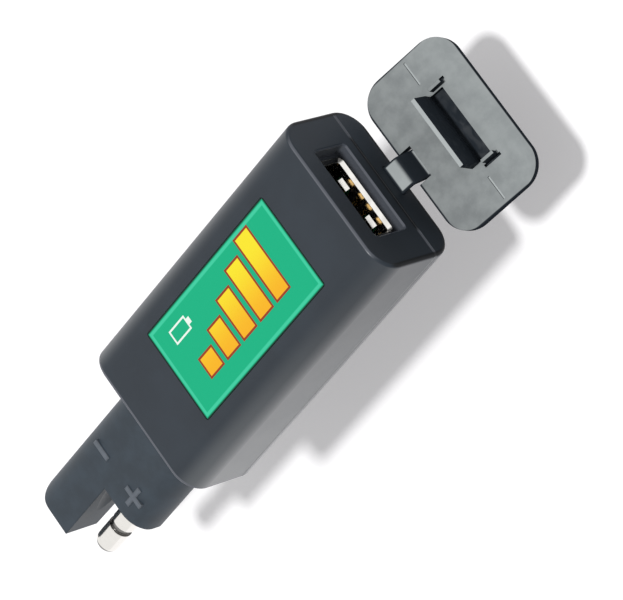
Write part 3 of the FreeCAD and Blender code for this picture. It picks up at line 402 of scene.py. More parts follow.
class Shape(Nodes):
    """A geometry tree that grows one shape from named sizes."""

    def __init__(self, name, **kinds):
        tree = bpy.data.node_groups.new(name, "GeometryNodeTree")
        tree.interface.new_socket("Geometry", in_out="OUTPUT", socket_type="NodeSocketGeometry")
        for key, kind in {"Geometry": "Geometry", **kinds}.items():
            tree.interface.new_socket(key, in_out="INPUT", socket_type="NodeSocket" + kind)
        super().__init__(tree, "NodeGroupOutput", "Geometry")
        given = tree.nodes.new("NodeGroupInput").outputs
        self.given = {key: Value(self, given[key]) for key in ("Geometry", *kinds)}

    def make(self, kind, settings=None, **values):
        """Adds a geometry node; a socket's name has _ for each space."""
        named = {key.replace("_", " "): value for key, value in values.items()}
        return self.node("GeometryNode" + kind, settings, named)

    def rise(self, height):
        """A vector straight up."""
        return self.node("ShaderNodeCombineXYZ", None, {"Z": height})

    def above(self, spot, height):
        """The place a height above a spot."""
        return self.node("ShaderNodeVectorMath", {"operation": "ADD"}, (spot, self.rise(height)))

    def join(self, *shapes):
        """Several shapes as one."""
        joined = self.tree.nodes.new("GeometryNodeJoinGeometry")
        for shape in shapes:
            self.fill(joined.inputs[0], shape)
        return Value(self, joined.outputs[0])

    def end(self, shape, material):
        """Realizes what is instanced, gives it its material and puts it out."""
        whole = self.make("RealizeInstances", Geometry=shape)
        self.fill(self.output, self.make("SetMaterial", Geometry=whole, Material=material))


# Shared steps


def tint(shade, factor):
    """A colour made darker or paler."""
    return [min(1.0, part * factor) for part in shade]


def looks(context, name):
    """One property group of the scene."""
    return getattr(context.scene, "charger_" + name)


def wear(material, *pieces):
    """Gives pieces one material and nothing else."""
    for piece in pieces:
        slots = piece.material_slots
        if not slots:
            piece.data.materials.append(material)
        for slot in slots:
            slot.material = material


def added(name, data):
    """A new object in the scene, for a mesh, a curve, a lamp or a camera."""
    thing = bpy.data.objects.new(name, data)
    bpy.context.scene.collection.objects.link(thing)
    return thing


def new_piece(name, mesh, body, slot, *stands_for):
    """Adds a mesh to the scene as a piece, which rides on a body if one is named."""
    piece = added(name, mesh)
    if stands_for:
        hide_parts(*stands_for)
    if body:
        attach(piece, body)
    return piece


def whole_mesh(form, name):
    """The plain mesh of a form that is done."""
    mesh = bpy.data.meshes.new(name)
    form.to_mesh(mesh)
    form.free()
    return mesh


def clean_copy(node, name):
    """A packed node's mesh with its loose triangles joined into whole faces."""
    form = bmesh.new()
    form.from_mesh(NODES[node].data)
    bmesh.ops.remove_doubles(form, verts=form.verts, dist=0.002 * MM)
    bmesh.ops.dissolve_limit(form, angle_limit=math.radians(0.5), use_dissolve_boundaries=False,
                             verts=form.verts, edges=form.edges)
    return whole_mesh(form, name)


def evaluated_mesh(holder, name):
    """The plain mesh that an object's modifiers give."""
    graph = bpy.context.evaluated_depsgraph_get()
    mesh = bpy.data.meshes.new_from_object(holder.evaluated_get(graph))
    mesh.name = name
    return mesh


def smooth(mesh, angle):
    """Smooth faces, with sharp edges where they meet at more than an angle in degrees."""
    mesh.shade_smooth()
    mesh.set_sharp_from_angle(angle=math.radians(angle))


def soften(piece, width):
    """Real small bevels on a piece's sharp edges, kept in its mesh."""
    angle = 32
    smooth(piece.data, angle)
    bevel = piece.modifiers.new("soft edges", "BEVEL")
    bevel.width = width
    bevel.segments = 3
    bevel.limit_method = "ANGLE"
    bevel.angle_limit = math.radians(angle)
    bevel.harden_normals = True
    piece.data = evaluated_mesh(piece, piece.name)
    piece.modifiers.clear()


def grown(name, shape, start, **sizes):
    """Runs a geometry tree on a mesh or curve and keeps the plain mesh that it gives."""
    holder = added(name + "_start", start)
    modifier = holder.modifiers.new(name, "NODES")
    modifier.node_group = shape.tree
    for item in shape.tree.interface.items_tree:
        if item.in_out == "INPUT" and item.name in sizes:
            modifier[item.identifier] = sizes[item.name]
    mesh = evaluated_mesh(holder, name)
    bpy.data.objects.remove(holder)
    return mesh


# Finishes


def handled_plastic(finish, plastic):
    """The case's cloudy tone, and its colour with faint rubs along its length."""
    cloud = finish.noise(finish.place(), 9 * MM, 3.0, 0.55)
    rub = finish.noise(finish.place(stretch=(1, 0.25, 1)), 1.6 * MM, 4.0, 0.65)
    tone = finish.step(cloud, 0.25, 0.75)
    worn = finish.step(rub, 0.62, 0.8) * 0.25
    shade = finish.mix(tone, tint(plastic, 0.88), tint(plastic, 1.12))
    return tone, finish.mix(worn, shade, tint(plastic, 1.7))


def case_plastic(sizes):
    """Satin plastic with painted highlights on its sides, edges and seams, and painted shade round the port's end
    face.
    """
    finish = Finish("case plastic", Specular_IOR_Level=0.15, Coat_Roughness=0.3)
    place = finish.place()
    low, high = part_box("upper_shell")
    across, along, up = finish.axes(place)
    side, end, top = (finish.facing(*axis) for axis in ((1, 0, 0), (0, 1, 0), (0, 0, 1)))
    sideways, off_middle = side.size(), across.size()
    towards_port = finish.step(along, low.y, high.y)
    grain = finish.noise(place, sizes.grain, 2.0, 0.6)
    tone, shade = handled_plastic(finish, sizes.plastic)

    # Painted shade darkens the port's end face to one side, and a painted highlight lightens the walls of its
    # recess
    wall = finish.step(end, 0.9, 0.98)
    recess_floor = high.y - PORT_DEPTH
    mouth = finish.step(along, recess_floor - 0.2 * MM, recess_floor - 0.1 * MM) \
        * (1 - finish.step(off_middle, PORT_HALF_WIDTH + 0.1 * MM, PORT_HALF_WIDTH + 0.2 * MM)) \
        * finish.band(up, PORT_BOTTOM, PORT_TOP, 0.1 * MM)
    recess = mouth * (1 - wall * finish.step(along, high.y - 0.1 * MM, high.y - 0.05 * MM))
    painted_shade_side = finish.step(across, -11 * MM, 3 * MM)
    shade = finish.mix(wall * (1 - mouth) * painted_shade_side * 0.5, shade, tint(sizes.plastic, 0.2))
    shade = finish.mix(recess * (0.35 + 0.15 * finish.step(top, 0.5, 0.9)), shade, sizes.painted_highlight)

    # Painted highlights make the joint of the shells pale beside the port and along the sides; painted shade
    # darkens it under the port
    beside_port = finish.step(off_middle, PORT_HALF_WIDTH + 0.2 * MM, PORT_HALF_WIDTH + 1.2 * MM)
    half_seam = sizes.seam / 2
    seam = wall * beside_port * finish.band(up, low.z - half_seam, low.z + half_seam, 0.12 * MM)
    painted_seam_shade = (1 - beside_port) * finish.step(along, high.y - 0.5 * MM, high.y - 0.4 * MM) \
        * finish.band(up, low.z - 0.3 * MM, low.z + 0.3 * MM, 0.05 * MM)
    painted_side_seam = finish.step(sideways, 0.3, 0.6) \
        * finish.band(up, low.z - 0.22 * MM, low.z + 0.22 * MM, 0.08 * MM)

    # A painted reflection makes the sides paler, most towards the plug, and the coat makes them glossier
    glow = finish.step(sideways, 0.15, 0.95) * (1 - 0.75 * towards_port) \
        * (1 - finish.step(end.size(), 0.1, 0.3))
    shade = finish.mix((glow * 0.6).either(painted_side_seam), shade, sizes.glow)
    flank = finish.step(sideways, 0.72, 1.0) * (1.15 - 0.45 * towards_port)

    # Painted highlights lie along the top edges of both ends; a painted shadow lines the port's end face lower
    # down
    rounding = finish.band(end.size(), 0.35, 0.9, 0.08)
    painted_highlight = rounding * finish.step(top, 0.25, 0.6) * (1 - finish.step(sideways, 0.1, 0.45))
    back_rim = (1 - finish.step(along, low.y + 0.68 * MM, low.y + 0.78 * MM)) \
        * (1 - finish.step(end.size(), 0.9, 0.98))
    from_edge = finish.from_outline(across, up - CASE_HALF_HEIGHT)
    shadow = finish.step(end, 0.3, 0.6) * (1 - finish.step(from_edge, 0.55 * MM, 0.85 * MM)) \
        * (1 - finish.step(up, 13 * MM, 14.5 * MM))
    shade = finish.mix((painted_highlight * 0.8).either(seam * 0.85).either(back_rim), shade, sizes.painted_highlight)
    shade = finish.mix((shadow * 0.9).either(painted_seam_shade * 0.8), shade, tint(sizes.plastic, 0.05))

    finish.set("Base Color", shade)
    finish.set("Roughness", sizes.sheen - 0.05 + 0.1 * tone + 0.06 * grain)
    top_sheen = finish.step(top, 0.3, 0.9) * 0.3 * (1 - mouth)
    finish.set("Coat Weight", (sizes.side_sheen * flank).either(top_sheen))
    finish.set("Normal", finish.bump(grain, 0.012 * MM, 0.6, finish.soft_edge(sizes.edge)))
    return finish.material


def level_bars(sizes, along, above):
    """The keylines and the fills of a row of rising bars that stand on a line."""
    pitch = sizes.bar_pitch
    place = (along + sizes.bars * pitch / 2) / pitch
    count = place.floor()
    inside = (count > -0.5) * (count < sizes.bars - 0.5)
    off_middle = (place.fraction() * pitch - pitch / 2).size()
    past_top = above - (sizes.bar_first + count * sizes.bar_rise)
    keylines = inside * (off_middle < sizes.bar_width / 2 + sizes.keyline) \
        * (above > -sizes.keyline) * (past_top < sizes.keyline)
    fills = inside * (off_middle < sizes.bar_width / 2) * (above > 0) * (past_top < 0)
    return keylines, fills


def label_film(sizes, low, high):
    """Printed film: a border line, rising level bars and a battery sign on a plain field."""
    finish = Finish("label film", Specular_IOR_Level=0.1)
    middle = (low + high) / 2
    half = (high - low) / 2
    place = finish.place((middle.x, middle.y, 0))
    across, along, _ = finish.axes(place)
    from_edge = (half.x - across.size()).both(half.y - along.size())
    inset, line = 0.55 * MM, sizes.border_width
    border = finish.step(from_edge, inset * 0.5, inset * 0.8) \
        * (1 - finish.step(from_edge, inset + line, inset * 1.3 + line))
    above = half.x * 0.5 - across
    keylines, fills = level_bars(sizes, along, above)
    bar = finish.mix(finish.step(above, 0, 9 * MM), sizes.bar_foot, sizes.bar)
    case_middle, case_half, stroke = (-4.4 * MM, -10.6 * MM), (1.2 * MM, 2.1 * MM), 0.3 * MM
    pole_middle, pole_half = (-4.4 * MM, -8.2 * MM), (0.5 * MM, 0.4 * MM)
    sign = finish.box_line(across, along, case_middle, case_half, stroke) \
        .either(finish.box_fill(across, along, pole_middle, pole_half))
    ink = finish.noise(place, 0.25 * MM, 2.0)
    shade = finish.mix(ink * 0.25, sizes.field, tint(sizes.field, 0.8))
    # Painted shade: a dark band round the film's edge, for the shadow of the gap round the label
    edge = 1 - finish.step(from_edge, 0.12 * MM, 0.3 * MM)
    for mask, print_colour in ((border, sizes.border), (keylines, sizes.outline), (fills, bar),
                               (sign, sizes.sign), (edge, sizes.rim)):
        shade = finish.mix(mask, shade, print_colour)
    finish.set("Base Color", shade)
    finish.set("Roughness", 0.34 + 0.12 * ink + 0.3 * edge)
    finish.set("Normal", finish.bump(keylines * 0.6 + ink * 0.1, 0.02 * MM, 0.5))
    return finish.material


def bright_metal(name, shade, rough, brushed, edge, painted_dark_from=None):
    """Metal with fine drawn lines and soft edges, with painted shade past a given distance from the middle."""
    finish = Finish(name, Metallic=1.0)
    lines = finish.noise(finish.place(stretch=brushed), 0.12 * MM, 3.0, 0.6)
    haze = finish.noise(finish.place(), 1.4 * MM, 3.0)
    metal = finish.mix(finish.step(haze, 0.3, 0.75), shade, tint(shade, 0.82))
    # Painted shade: past that distance from the middle the metal goes dark, as where a recess shades it
    if painted_dark_from:
        across, _, _ = finish.axes(finish.place())
        painted_dark = finish.step(across.size(), painted_dark_from, painted_dark_from + 0.4 * MM)
        metal = finish.mix(painted_dark, metal, tint(shade, 0.12))
    finish.set("Base Color", metal)
    finish.set("Roughness", rough + 0.14 * lines * haze)
    finish.set("Normal", finish.bump(lines, 0.004 * MM, 0.5, finish.soft_edge(edge)))
    return finish.material


def pin_plating(sizes, tip_end):
    """Bright nickel on the pin, with painted dark reflection and shade in its groove and round its tip."""
    finish = Finish("pin nickel", Metallic=1.0)
    _, from_tip, _ = finish.axes(finish.place((0, tip_end, 0)))
    haze = finish.noise(finish.place(), 0.8 * MM, 3.0)
    # Painted dark reflection and shade: the groove and a ring round the tip, with a little random tone
    groove = finish.band(from_tip, 5.2 * MM, 6.2 * MM, 0.15 * MM)
    tip = finish.band(from_tip, 0.25 * MM, 0.95 * MM, 0.2 * MM)
    painted_dark = (groove.either(tip) + 0.12 * haze) * sizes.dark_reflection
    finish.set("Base Color", finish.mix(painted_dark, sizes.nickel, tint(sizes.nickel, 0.12)))
    finish.set("Roughness", 0.14 + 0.2 * painted_dark)
    finish.set("Normal", finish.bump(haze, 0.004 * MM, 0.4, finish.soft_edge(0.1 * MM)))
    return finish.material


def moulded(name, shade, rough, grain, edge, variety=0.15):
    """Plain moulded plastic or rubber: cloudy tone, fine grain and soft edges."""
    finish = Finish(name, Specular_IOR_Level=0.35)
    place = finish.place()
    fine = finish.noise(place, grain, 3.0, 0.6)
    cloud = finish.noise(place, grain * 14, 3.0)
    finish.set("Base Color", finish.mix(finish.step(cloud, 0.3, 0.7), tint(shade, 1 - variety),
                                        tint(shade, 1 + variety)))
    finish.set("Roughness", rough + 0.1 * cloud + 0.06 * fine)
    finish.set("Normal", finish.bump(fine, grain * 0.06, 0.6, finish.soft_edge(edge)))
    return finish.material


def painted_sheen(finish, sizes, place, amount, lift, gloss, sheen=0):
    """Dark rubber with a painted sheen by the amount and a painted highlight by the lift, crumpled and glinting by
    the gloss.
    """
    blotch = finish.noise(place, sizes.blotch_size, 4.0, 0.55)
    speck = finish.noise(place, 0.6 * MM, 4.0, 0.7)
    crumple = finish.noise(finish.place(stretch=(0.6, 1, 1)), 1.5 * MM, 2.0, 0.5, 0.8)
    painted_sheen_tone = finish.mix(finish.step(blotch, 0.3, 0.7), sizes.face, sizes.blotch)
    painted_sheen_tone = finish.mix(finish.step(speck, 0.5, 0.85) * 0.25, painted_sheen_tone, tint(sizes.face, 1.3))
    painted_sheen_tone = finish.mix(lift, painted_sheen_tone, tint(sizes.face, 2.0))
    finish.set("Base Color", finish.mix(amount, sizes.rim, painted_sheen_tone))
    finish.set("Roughness", 0.5 + 0.1 * speck)
    finish.set("Coat Weight", gloss * finish.step(crumple, 0.35, 0.75) + sheen)
    finish.set("Normal", finish.bump(crumple * gloss + blotch * 0.1 + speck * 0.05, 0.15 * MM,
                                     0.6, finish.soft_edge(0.08 * MM)))


def cap_rubber(sizes, middle):
    """The cap: a painted sheen on the inner face and the stopper's tip, dark rubber on the rest."""
    finish = Finish("cap rubber", Specular_IOR_Level=0.0, Coat_Roughness=0.35)
    place = finish.place(middle, (CAP_OPENED, 0, 0))
    across, deep, up = finish.axes(place)
    inward = Matrix.Rotation(-CAP_OPENED, 3, "X") @ Vector((0, -1, 0))
    level = finish.step(finish.facing(*inward), 0.75, 0.95)
    from_edge = finish.from_outline(across, up)
    # Painted sheen where the face looks inward; painted highlights make it paler on the stopper's tip, in the
    # creases and towards one end
    tip = level * (1 - finish.step(deep, -4.2 * MM, -3.9 * MM))
    plate = 1 - finish.step(deep, 0.2 * MM, 0.3 * MM)
    amount = level * plate * finish.step(from_edge + 0.014 * up, 0.1 * MM, 0.24 * MM)
    crease = level * finish.band(deep, 0.06 * MM, 0.3 * MM, 0.04 * MM) \
        * finish.band(across.size(), 8.4 * MM, 12.6 * MM, 0.1 * MM)
    rise = 0.2 * finish.step(up, -7 * MM, 8 * MM)
    outer = finish.step(deep, 1.1 * MM, 1.4 * MM)
    inside = finish.step(from_edge, 1.5 * MM, 2.0 * MM) * (1 - outer)
    painted_sheen(finish, sizes, place, amount, rise.either(tip * 0.55).either(crease * 0.7),
           (1 - amount) * inside * 0.3, outer * 0.45)
    return finish.material


def strap_rubber(sizes):
    """The strap: a painted sheen where it faces up, stopping short of its edges and of the case; dark rubber on
    the rest.
    """
    finish = Finish("strap rubber", Specular_IOR_Level=0.0, Coat_Roughness=0.3)
    place = finish.place()
    across, along, _ = finish.axes(place)
    half = sizes.strap_width / 2
    # Painted sheen on the strap's upward faces; it stops short of its edges and of the case, where the strap stays
    # dark
    amount = finish.step(finish.facing(0, 0, 1), 0.6, 0.95) \
        * (1 - finish.step(across.size(), half - 0.42 * MM, half - 0.25 * MM)) \
        * finish.step(along, STRAP_FREE_FROM, STRAP_FREE_FROM + 0.25 * MM)
    painted_sheen(finish, sizes, place, amount, 0.45, (1 - amount) * 0.12)
    return finish.material


def board_lacquer(sizes):
    """Green solder resist over copper tracks, with rows of tinned holes."""
    finish = Finish("board lacquer", Coat_Roughness=0.1)
    place = finish.place()
    across, along, _ = finish.axes(place)
    track_pitch, via_pitch = 1.6 * MM, 2.54 * MM
    wander = finish.noise(place, 7 * MM, 1.0) * (3 * MM)
    lane = ((across + wander) / track_pitch).fraction()
    track = finish.step(lane, 0.3, 0.34) * (1 - finish.step(lane, 0.66, 0.7))
    row, column = ((value / via_pitch).fraction() - 0.5 for value in (along, across))
    via = 1 - finish.step(row * row + column * column, 0.012, 0.02)
    shade = finish.mix(track, sizes.resist, sizes.track)
    finish.set("Base Color", finish.mix(via, shade, sizes.tin))
    finish.set("Metallic", via * 0.9)
    finish.set("Roughness", 0.32 + 0.1 * track)
    finish.set("Coat Weight", 0.4 - 0.4 * via)
    finish.set("Normal", finish.bump(track + via, 0.03 * MM, 0.5))
    return finish.material


def end_capped(name, sizes, low, high, tinned_share):
    """A small block part: moulded middle, tinned ends along the board."""
    finish = Finish(name)
    half = (high.y - low.y) / 2
    place = finish.place((low + high) / 2)
    _, along, _ = finish.axes(place)
    ends = finish.step(along.size(), half * (1 - tinned_share), half * (1.03 - tinned_share))
    fine = finish.noise(place, 0.15 * MM, 3.0)
    body = finish.mix(fine, sizes.block, tint(sizes.block, 1.5))
    finish.set("Base Color", finish.mix(ends, body, sizes.tin))
    finish.set("Metallic", ends)
    finish.set("Roughness", 0.45 - 0.15 * ends + 0.1 * fine)
    finish.set("Normal", finish.bump(fine, 0.006 * MM, 0.5, finish.soft_edge(0.05 * MM)))
    return finish.material


def chip_block(sizes, low, high):
    """The regulator: a moulded block between two rows of tinned legs."""
    finish = Finish("regulator finish")
    across, _, _ = finish.axes(finish.place((low + high) / 2))
    leg = finish.step(across.size(), CHIP_HALF_WIDTH, CHIP_HALF_WIDTH + 0.03 * MM)
    fine = finish.noise(finish.place(), 0.15 * MM, 3.0)
    finish.set("Base Color", finish.mix(leg, sizes.block, sizes.tin))
    finish.set("Metallic", leg)
    finish.set("Roughness", 0.5 - 0.2 * leg + 0.1 * fine)
    finish.set("Normal", finish.bump(fine, 0.006 * MM, 0.5, finish.soft_edge(0.05 * MM)))
    return finish.material


def can_metal(sizes, low, high):
    """An aluminium can with a dark polarity stripe on its top."""
    finish = Finish("can", Metallic=1.0)
    half = (high - low) / 2
    across, _, up = finish.axes(finish.place((low + high) / 2))
    top = finish.step(up, half.z * 0.9, half.z * 0.95)
    stripe = top * finish.step(across, half.x * 0.4, half.x * 0.43)
    lines = finish.noise(finish.place(stretch=(1, 1, 0.05)), 0.2 * MM, 3.0)
    finish.set("Base Color", finish.mix(stripe, sizes.can, (0.02, 0.02, 0.025)))
    finish.set("Roughness", 0.3 + 0.15 * lines + 0.2 * stripe)
    finish.set("Normal", finish.bump(lines, 0.004 * MM, 0.5, finish.soft_edge(0.1 * MM)))
    return finish.material


# Pieces


class CHARGER_OT_case(bpy.types.Operator):
    """Dresses the two shells of the case"""

    bl_idname = "charger.case"
    bl_label = "Case"

    def execute(self, context):
        plastic = case_plastic(looks(context, "case"))
        wear(plastic, NODES["upper_shell"], NODES["lower_shell"])
        return {"FINISHED"}


class CHARGER_OT_label(bpy.types.Operator):
    """Prints the label film"""

    bl_idname = "charger.label"
    bl_label = "Label"

    def execute(self, context):
        low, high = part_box("label")
        wear(label_film(looks(context, "label"), low, high), NODES["label"])
        return {"FINISHED"}


class CHARGER_OT_port(bpy.types.Operator):
    """Dresses the receptacle: shell, insulator and contacts"""

    bl_idname = "charger.port"
    bl_label = "Port"

    def execute(self, context):
        sizes = looks(context, "port")
        # The steel gets painted shade past 5.9 mm either side of its middle, at the sides of the mouth
        steel = bright_metal("receptacle steel", sizes.steel, 0.1, (1, 0.06, 1), 0.06 * MM,
                             painted_dark_from=5.9 * MM)
        gold = bright_metal("contact gold", sizes.gold, 0.2, (1, 0.1, 1), 0.05 * MM)
        nylon = moulded("insulator nylon", sizes.nylon, 0.4, 0.2 * MM, 0.08 * MM)
        wear(steel, NODES["usb_shell"])
        wear(nylon, NODES["usb_insulator"])
        wear(gold, *(NODES[f"usb_contact_{number}"] for number in range(1, 5)))
        return {"FINISHED"}


class CHARGER_OT_plug(bpy.types.Operator):
    """Dresses the battery plug and its two terminals"""

    bl_idname = "charger.plug"
    bl_label = "Plug"

    def execute(self, context):
        sizes = looks(context, "plug")
        rubber = moulded("plug rubber", sizes.rubber, 0.4, 0.2 * MM, 0.3 * MM)
        brass = bright_metal("sleeve brass", sizes.brass, 0.22, (1, 0.2, 1), 0.08 * MM)
        wear(rubber, NODES["plug_body"])
        wear(pin_plating(sizes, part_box("pin_terminal")[0].y), NODES["pin_terminal"])
        wear(brass, NODES["socket_terminal"])
        return {"FINISHED"}


def minus_outline(reach, width, pull):
    """A bar's corners, pulled in by a distance."""
    far, near = reach / 2 - pull, width / 2 - pull
    return [(-far, -near), (far, -near), (far, near), (-far, near)]


def plus_outline(reach, width, pull):
    """A plus sign's corners, pulled in by a distance."""
    far, near = reach / 2 - pull, width / 2 - pull
    return [(near, near), (near, far), (-near, far), (-near, near), (-far, near), (-far, -near),
            (-near, -near), (-near, -far), (near, -far), (near, -near), (far, -near), (far, near)]


def raised_mark(name, outline, reach, width, spot, foot, height):
    """A raised mark with sloping sides, which starts a little under the surface."""
    form = bmesh.new()
    rings = ((foot - height, 0), (foot + height * 0.45, 0), (foot + height, height * 0.6))
    loops = [[form.verts.new((spot[0] + x, spot[1] + y, level))
              for x, y in outline(reach, width, pull)] for level, pull in rings]
    form.faces.new(reversed(loops[0]))
    form.faces.new(loops[-1])
    for lower, upper in zip(loops, loops[1:]):
        for index in range(len(lower)):
            after = (index + 1) % len(lower)
            form.faces.new((lower[index], lower[after], upper[after], upper[index]))
    bmesh.ops.recalc_face_normals(form, faces=form.faces)
    return whole_mesh(form, name)


class CHARGER_OT_marks(bpy.types.Operator):
    """Raises the minus and plus marks on the plug"""

    bl_idname = "charger.marks"
    bl_label = "Plug marks"

    def execute(self, context):
        sizes = looks(context, "plug")
        pale = moulded("mark rubber", sizes.mark, 0.5, 0.2 * MM, 0.08 * MM)
        pin = next(mount for mount in frame["record"]["mounts"] if mount["name"] == "plug_pin")
        top = pin["pos_m"][2] + PLUG_HALF_THICKNESS
        for name, outline, reach, spot in (
                ("minus_mark", minus_outline, sizes.mark_length, MINUS_SPOT),
                ("plus_mark", plus_outline, sizes.plus_length, PLUS_SPOT)):
            mesh = raised_mark(name, outline, reach, sizes.mark_width, spot, top,
                               sizes.mark_height)
            wear(pale, new_piece(name, mesh, "housing", "plug_rubber"))
        return {"FINISHED"}


def strap_shape(material):
    """A band of rounded section swept along its line, with smooth bends."""
    work = Shape("cap_strap_band", Width="Float", Thickness="Float", Bend="Float", Edge="Float")
    line, width, thickness, bend, edge = work.given.values()
    polyline = {"mode": "POLY"}
    bent = work.make("FilletCurve", polyline, Curve=line, Count=10, Radius=bend,
                     Limit_Radius=True)
    upright = work.make("SetCurveNormal", Curve=bent)
    section = work.make("CurvePrimitiveQuadrilateral", Width=width, Height=thickness)
    rounded = work.make("FilletCurve", polyline, Curve=section, Count=3, Radius=edge,
                        Limit_Radius=True)
    work.end(work.make("CurveToMesh", Curve=upright, Profile_Curve=rounded, Fill_Caps=True),
             material)
    return work


class CHARGER_OT_strap(bpy.types.Operator):
    """Sweeps the flexible strap from the case to the cap and dresses its root"""

    bl_idname = "charger.strap"
    bl_label = "Strap"

    def execute(self, context):
        sizes = looks(context, "cap")
        rubber = strap_rubber(sizes)
        line = bpy.data.curves.new("strap_line", "CURVE")
        line.dimensions = "3D"
        spline = line.splines.new("POLY")
        spline.points.add(len(STRAP_CORNERS) - 1)
        for point, (along, up) in zip(spline.points, STRAP_CORNERS):
            point.co = (0, along, up, 1)
        mesh = grown("cap_strap_band", strap_shape(rubber), line, Width=sizes.strap_width,
                     Thickness=sizes.strap_thick, Bend=0.85 * MM, Edge=0.26 * MM)
        smooth(mesh, 50)
        piece = new_piece("cap_strap_band", mesh, None, "cap_rubber", "cap_strap")
        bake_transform(piece)
        wear(rubber, NODES["strap_anchor"])
        return {"FINISHED"}


class CHARGER_OT_cap(bpy.types.Operator):
    """Dresses the cap and softens its edges"""

    bl_idname = "charger.cap"
    bl_label = "Cap"

    def execute(self, context):
        sizes = looks(context, "cap")
        hinge = Vector(frame["joints"][0]["pos_m"])
        middle = hinge + Matrix.Rotation(-CAP_OPENED, 3, "X") @ CAP_MIDDLE_FROM_HINGE
        piece = new_piece("cap_body", clean_copy("port_cap", "cap_body"), "cap", "cap_rubber",
                          "port_cap")
        soften(piece, sizes.edge)
        wear(cap_rubber(sizes, middle), piece)
        return {"FINISHED"}


def winding_shape(material):
    """Turns of round wire side by side, over a plain drum of the same wire."""
    work = Shape("coil_winding", Turns="Int", Radius="Float", Wire="Float", Bottom="Vector",
                 Height="Float")
    _, turns, radius, wire, bottom, height = work.given.values()
    pitch = height / turns
    wire_radius = wire * 0.5
    middle_radius = radius - wire_radius
    by_radius = {"mode": "RADIUS"}
    ring = work.make("CurvePrimitiveCircle", by_radius, Resolution=48, Radius=middle_radius)
    section = work.make("CurvePrimitiveCircle", by_radius, Resolution=10, Radius=wire_radius)
    turn = work.make("CurveToMesh", Curve=ring, Profile_Curve=section)
    line = work.make("MeshLine", Count=turns, Start_Location=work.above(bottom, pitch * 0.5),
                     Offset=work.rise(pitch))
    stack = work.make("InstanceOnPoints", Points=line, Instance=turn)
    drum = work.make("MeshCylinder", Vertices=48, Radius=middle_radius, Depth=height)
    lifted = work.make("Transform", Geometry=drum, Translation=work.above(bottom, height * 0.5))
    work.end(work.join(stack, lifted), material)
    return work


def joints_shape(material):
    """A small solder cone at each given point, tip down."""
    work = Shape("solder_joints", Foot="Float", Height="Float")
    points, foot, height = work.given.values()
    cone = work.make("MeshCone", Vertices=16, Radius_Top=foot * 0.35, Radius_Bottom=foot,
                     Depth=height)
    turned = work.make("Transform", Geometry=cone, Rotation=(math.pi, 0, 0))
    work.end(work.make("InstanceOnPoints", Points=points, Instance=turned), material)
    return work


class CHARGER_OT_inside(bpy.types.Operator):
    """Dresses the board, its parts, the winding, the solder joints and the leads"""

    bl_idname = "charger.inside"
    bl_label = "Inside"

    def execute(self, context):
        sizes = looks(context, "inside")
        wear(board_lacquer(sizes), NODES["circuit_board"])
        wear(moulded("ferrite", sizes.ferrite, 0.55, 0.12 * MM, 0.12 * MM, variety=0.3),
             NODES["inductor_core"])
        for name in ("input_capacitor", "output_capacitor"):
            wear(can_metal(sizes, *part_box(name)), NODES[name])
        for name, tinned_share in (("diode", 0.1), ("resettable_fuse", 0.16),
                                   ("chip_resistor_1", 0.3), ("chip_resistor_2", 0.3),
                                   ("chip_resistor_3", 0.3)):
            wear(end_capped(name + " finish", sizes, *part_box(name), tinned_share), NODES[name])
        wear(chip_block(sizes, *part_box("regulator_chip")), NODES["regulator_chip"])
        for name, shade, node in (("red lead", sizes.red, "positive_lead"),
                                  ("black lead", sizes.black, "negative_lead")):
            wear(moulded(name, shade, 0.35, 0.3 * MM, 0.02 * MM), NODES[node])
        self.winding(sizes)
        self.solder(sizes)
        return {"FINISHED"}

    def winding(self, sizes):
        """The inductor's winding, as large as the solid that it stands for."""
        low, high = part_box("inductor_coil")
        size = high - low
        wire = bright_metal("enamelled copper", sizes.wire, 0.25, (1, 1, 0.3), 0.02 * MM)
        bottom = Vector(((low.x + high.x) / 2, (low.y + high.y) / 2, low.z))
        mesh = grown("coil_winding", winding_shape(wire), bpy.data.meshes.new("coil_start"),
                     Turns=sizes.turns, Radius=size.x / 2, Wire=size.z / sizes.turns,
                     Bottom=bottom, Height=size.z)
        smooth(mesh, 40)
        new_piece("coil_winding", mesh, "housing", "copper", "inductor_coil")

    def solder(self, sizes):
        """Solder cones where the receptacle's legs and contacts pass the board."""
        tin = bright_metal("solder", sizes.tin, 0.3, (1, 1, 1), 0.02 * MM)
        height = 0.6 * MM
        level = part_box("circuit_board")[0].z - height / 2
        contacts = [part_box(f"usb_contact_{number}") for number in range(1, 5)]
        tail_inset, leg_inset, legs_from_mouth = 0.1 * MM, 0.45 * MM, (4.7 * MM, 10.7 * MM)
        spots = [((low.x + high.x) / 2, low.y + tail_inset, level) for low, high in contacts]
        low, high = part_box("usb_shell")
        spots += [(across, high.y - back, level)
                  for across in (low.x + leg_inset, high.x - leg_inset)
                  for back in legs_from_mouth]
        dots = bpy.data.meshes.new("solder_points")
        dots.from_pydata(spots, [], [])
        mesh = grown("solder_joints", joints_shape(tin), dots, Foot=0.85 * MM, Height=height)
        smooth(mesh, 40)
        new_piece("solder_joints", mesh, "housing", "can")


# The studio


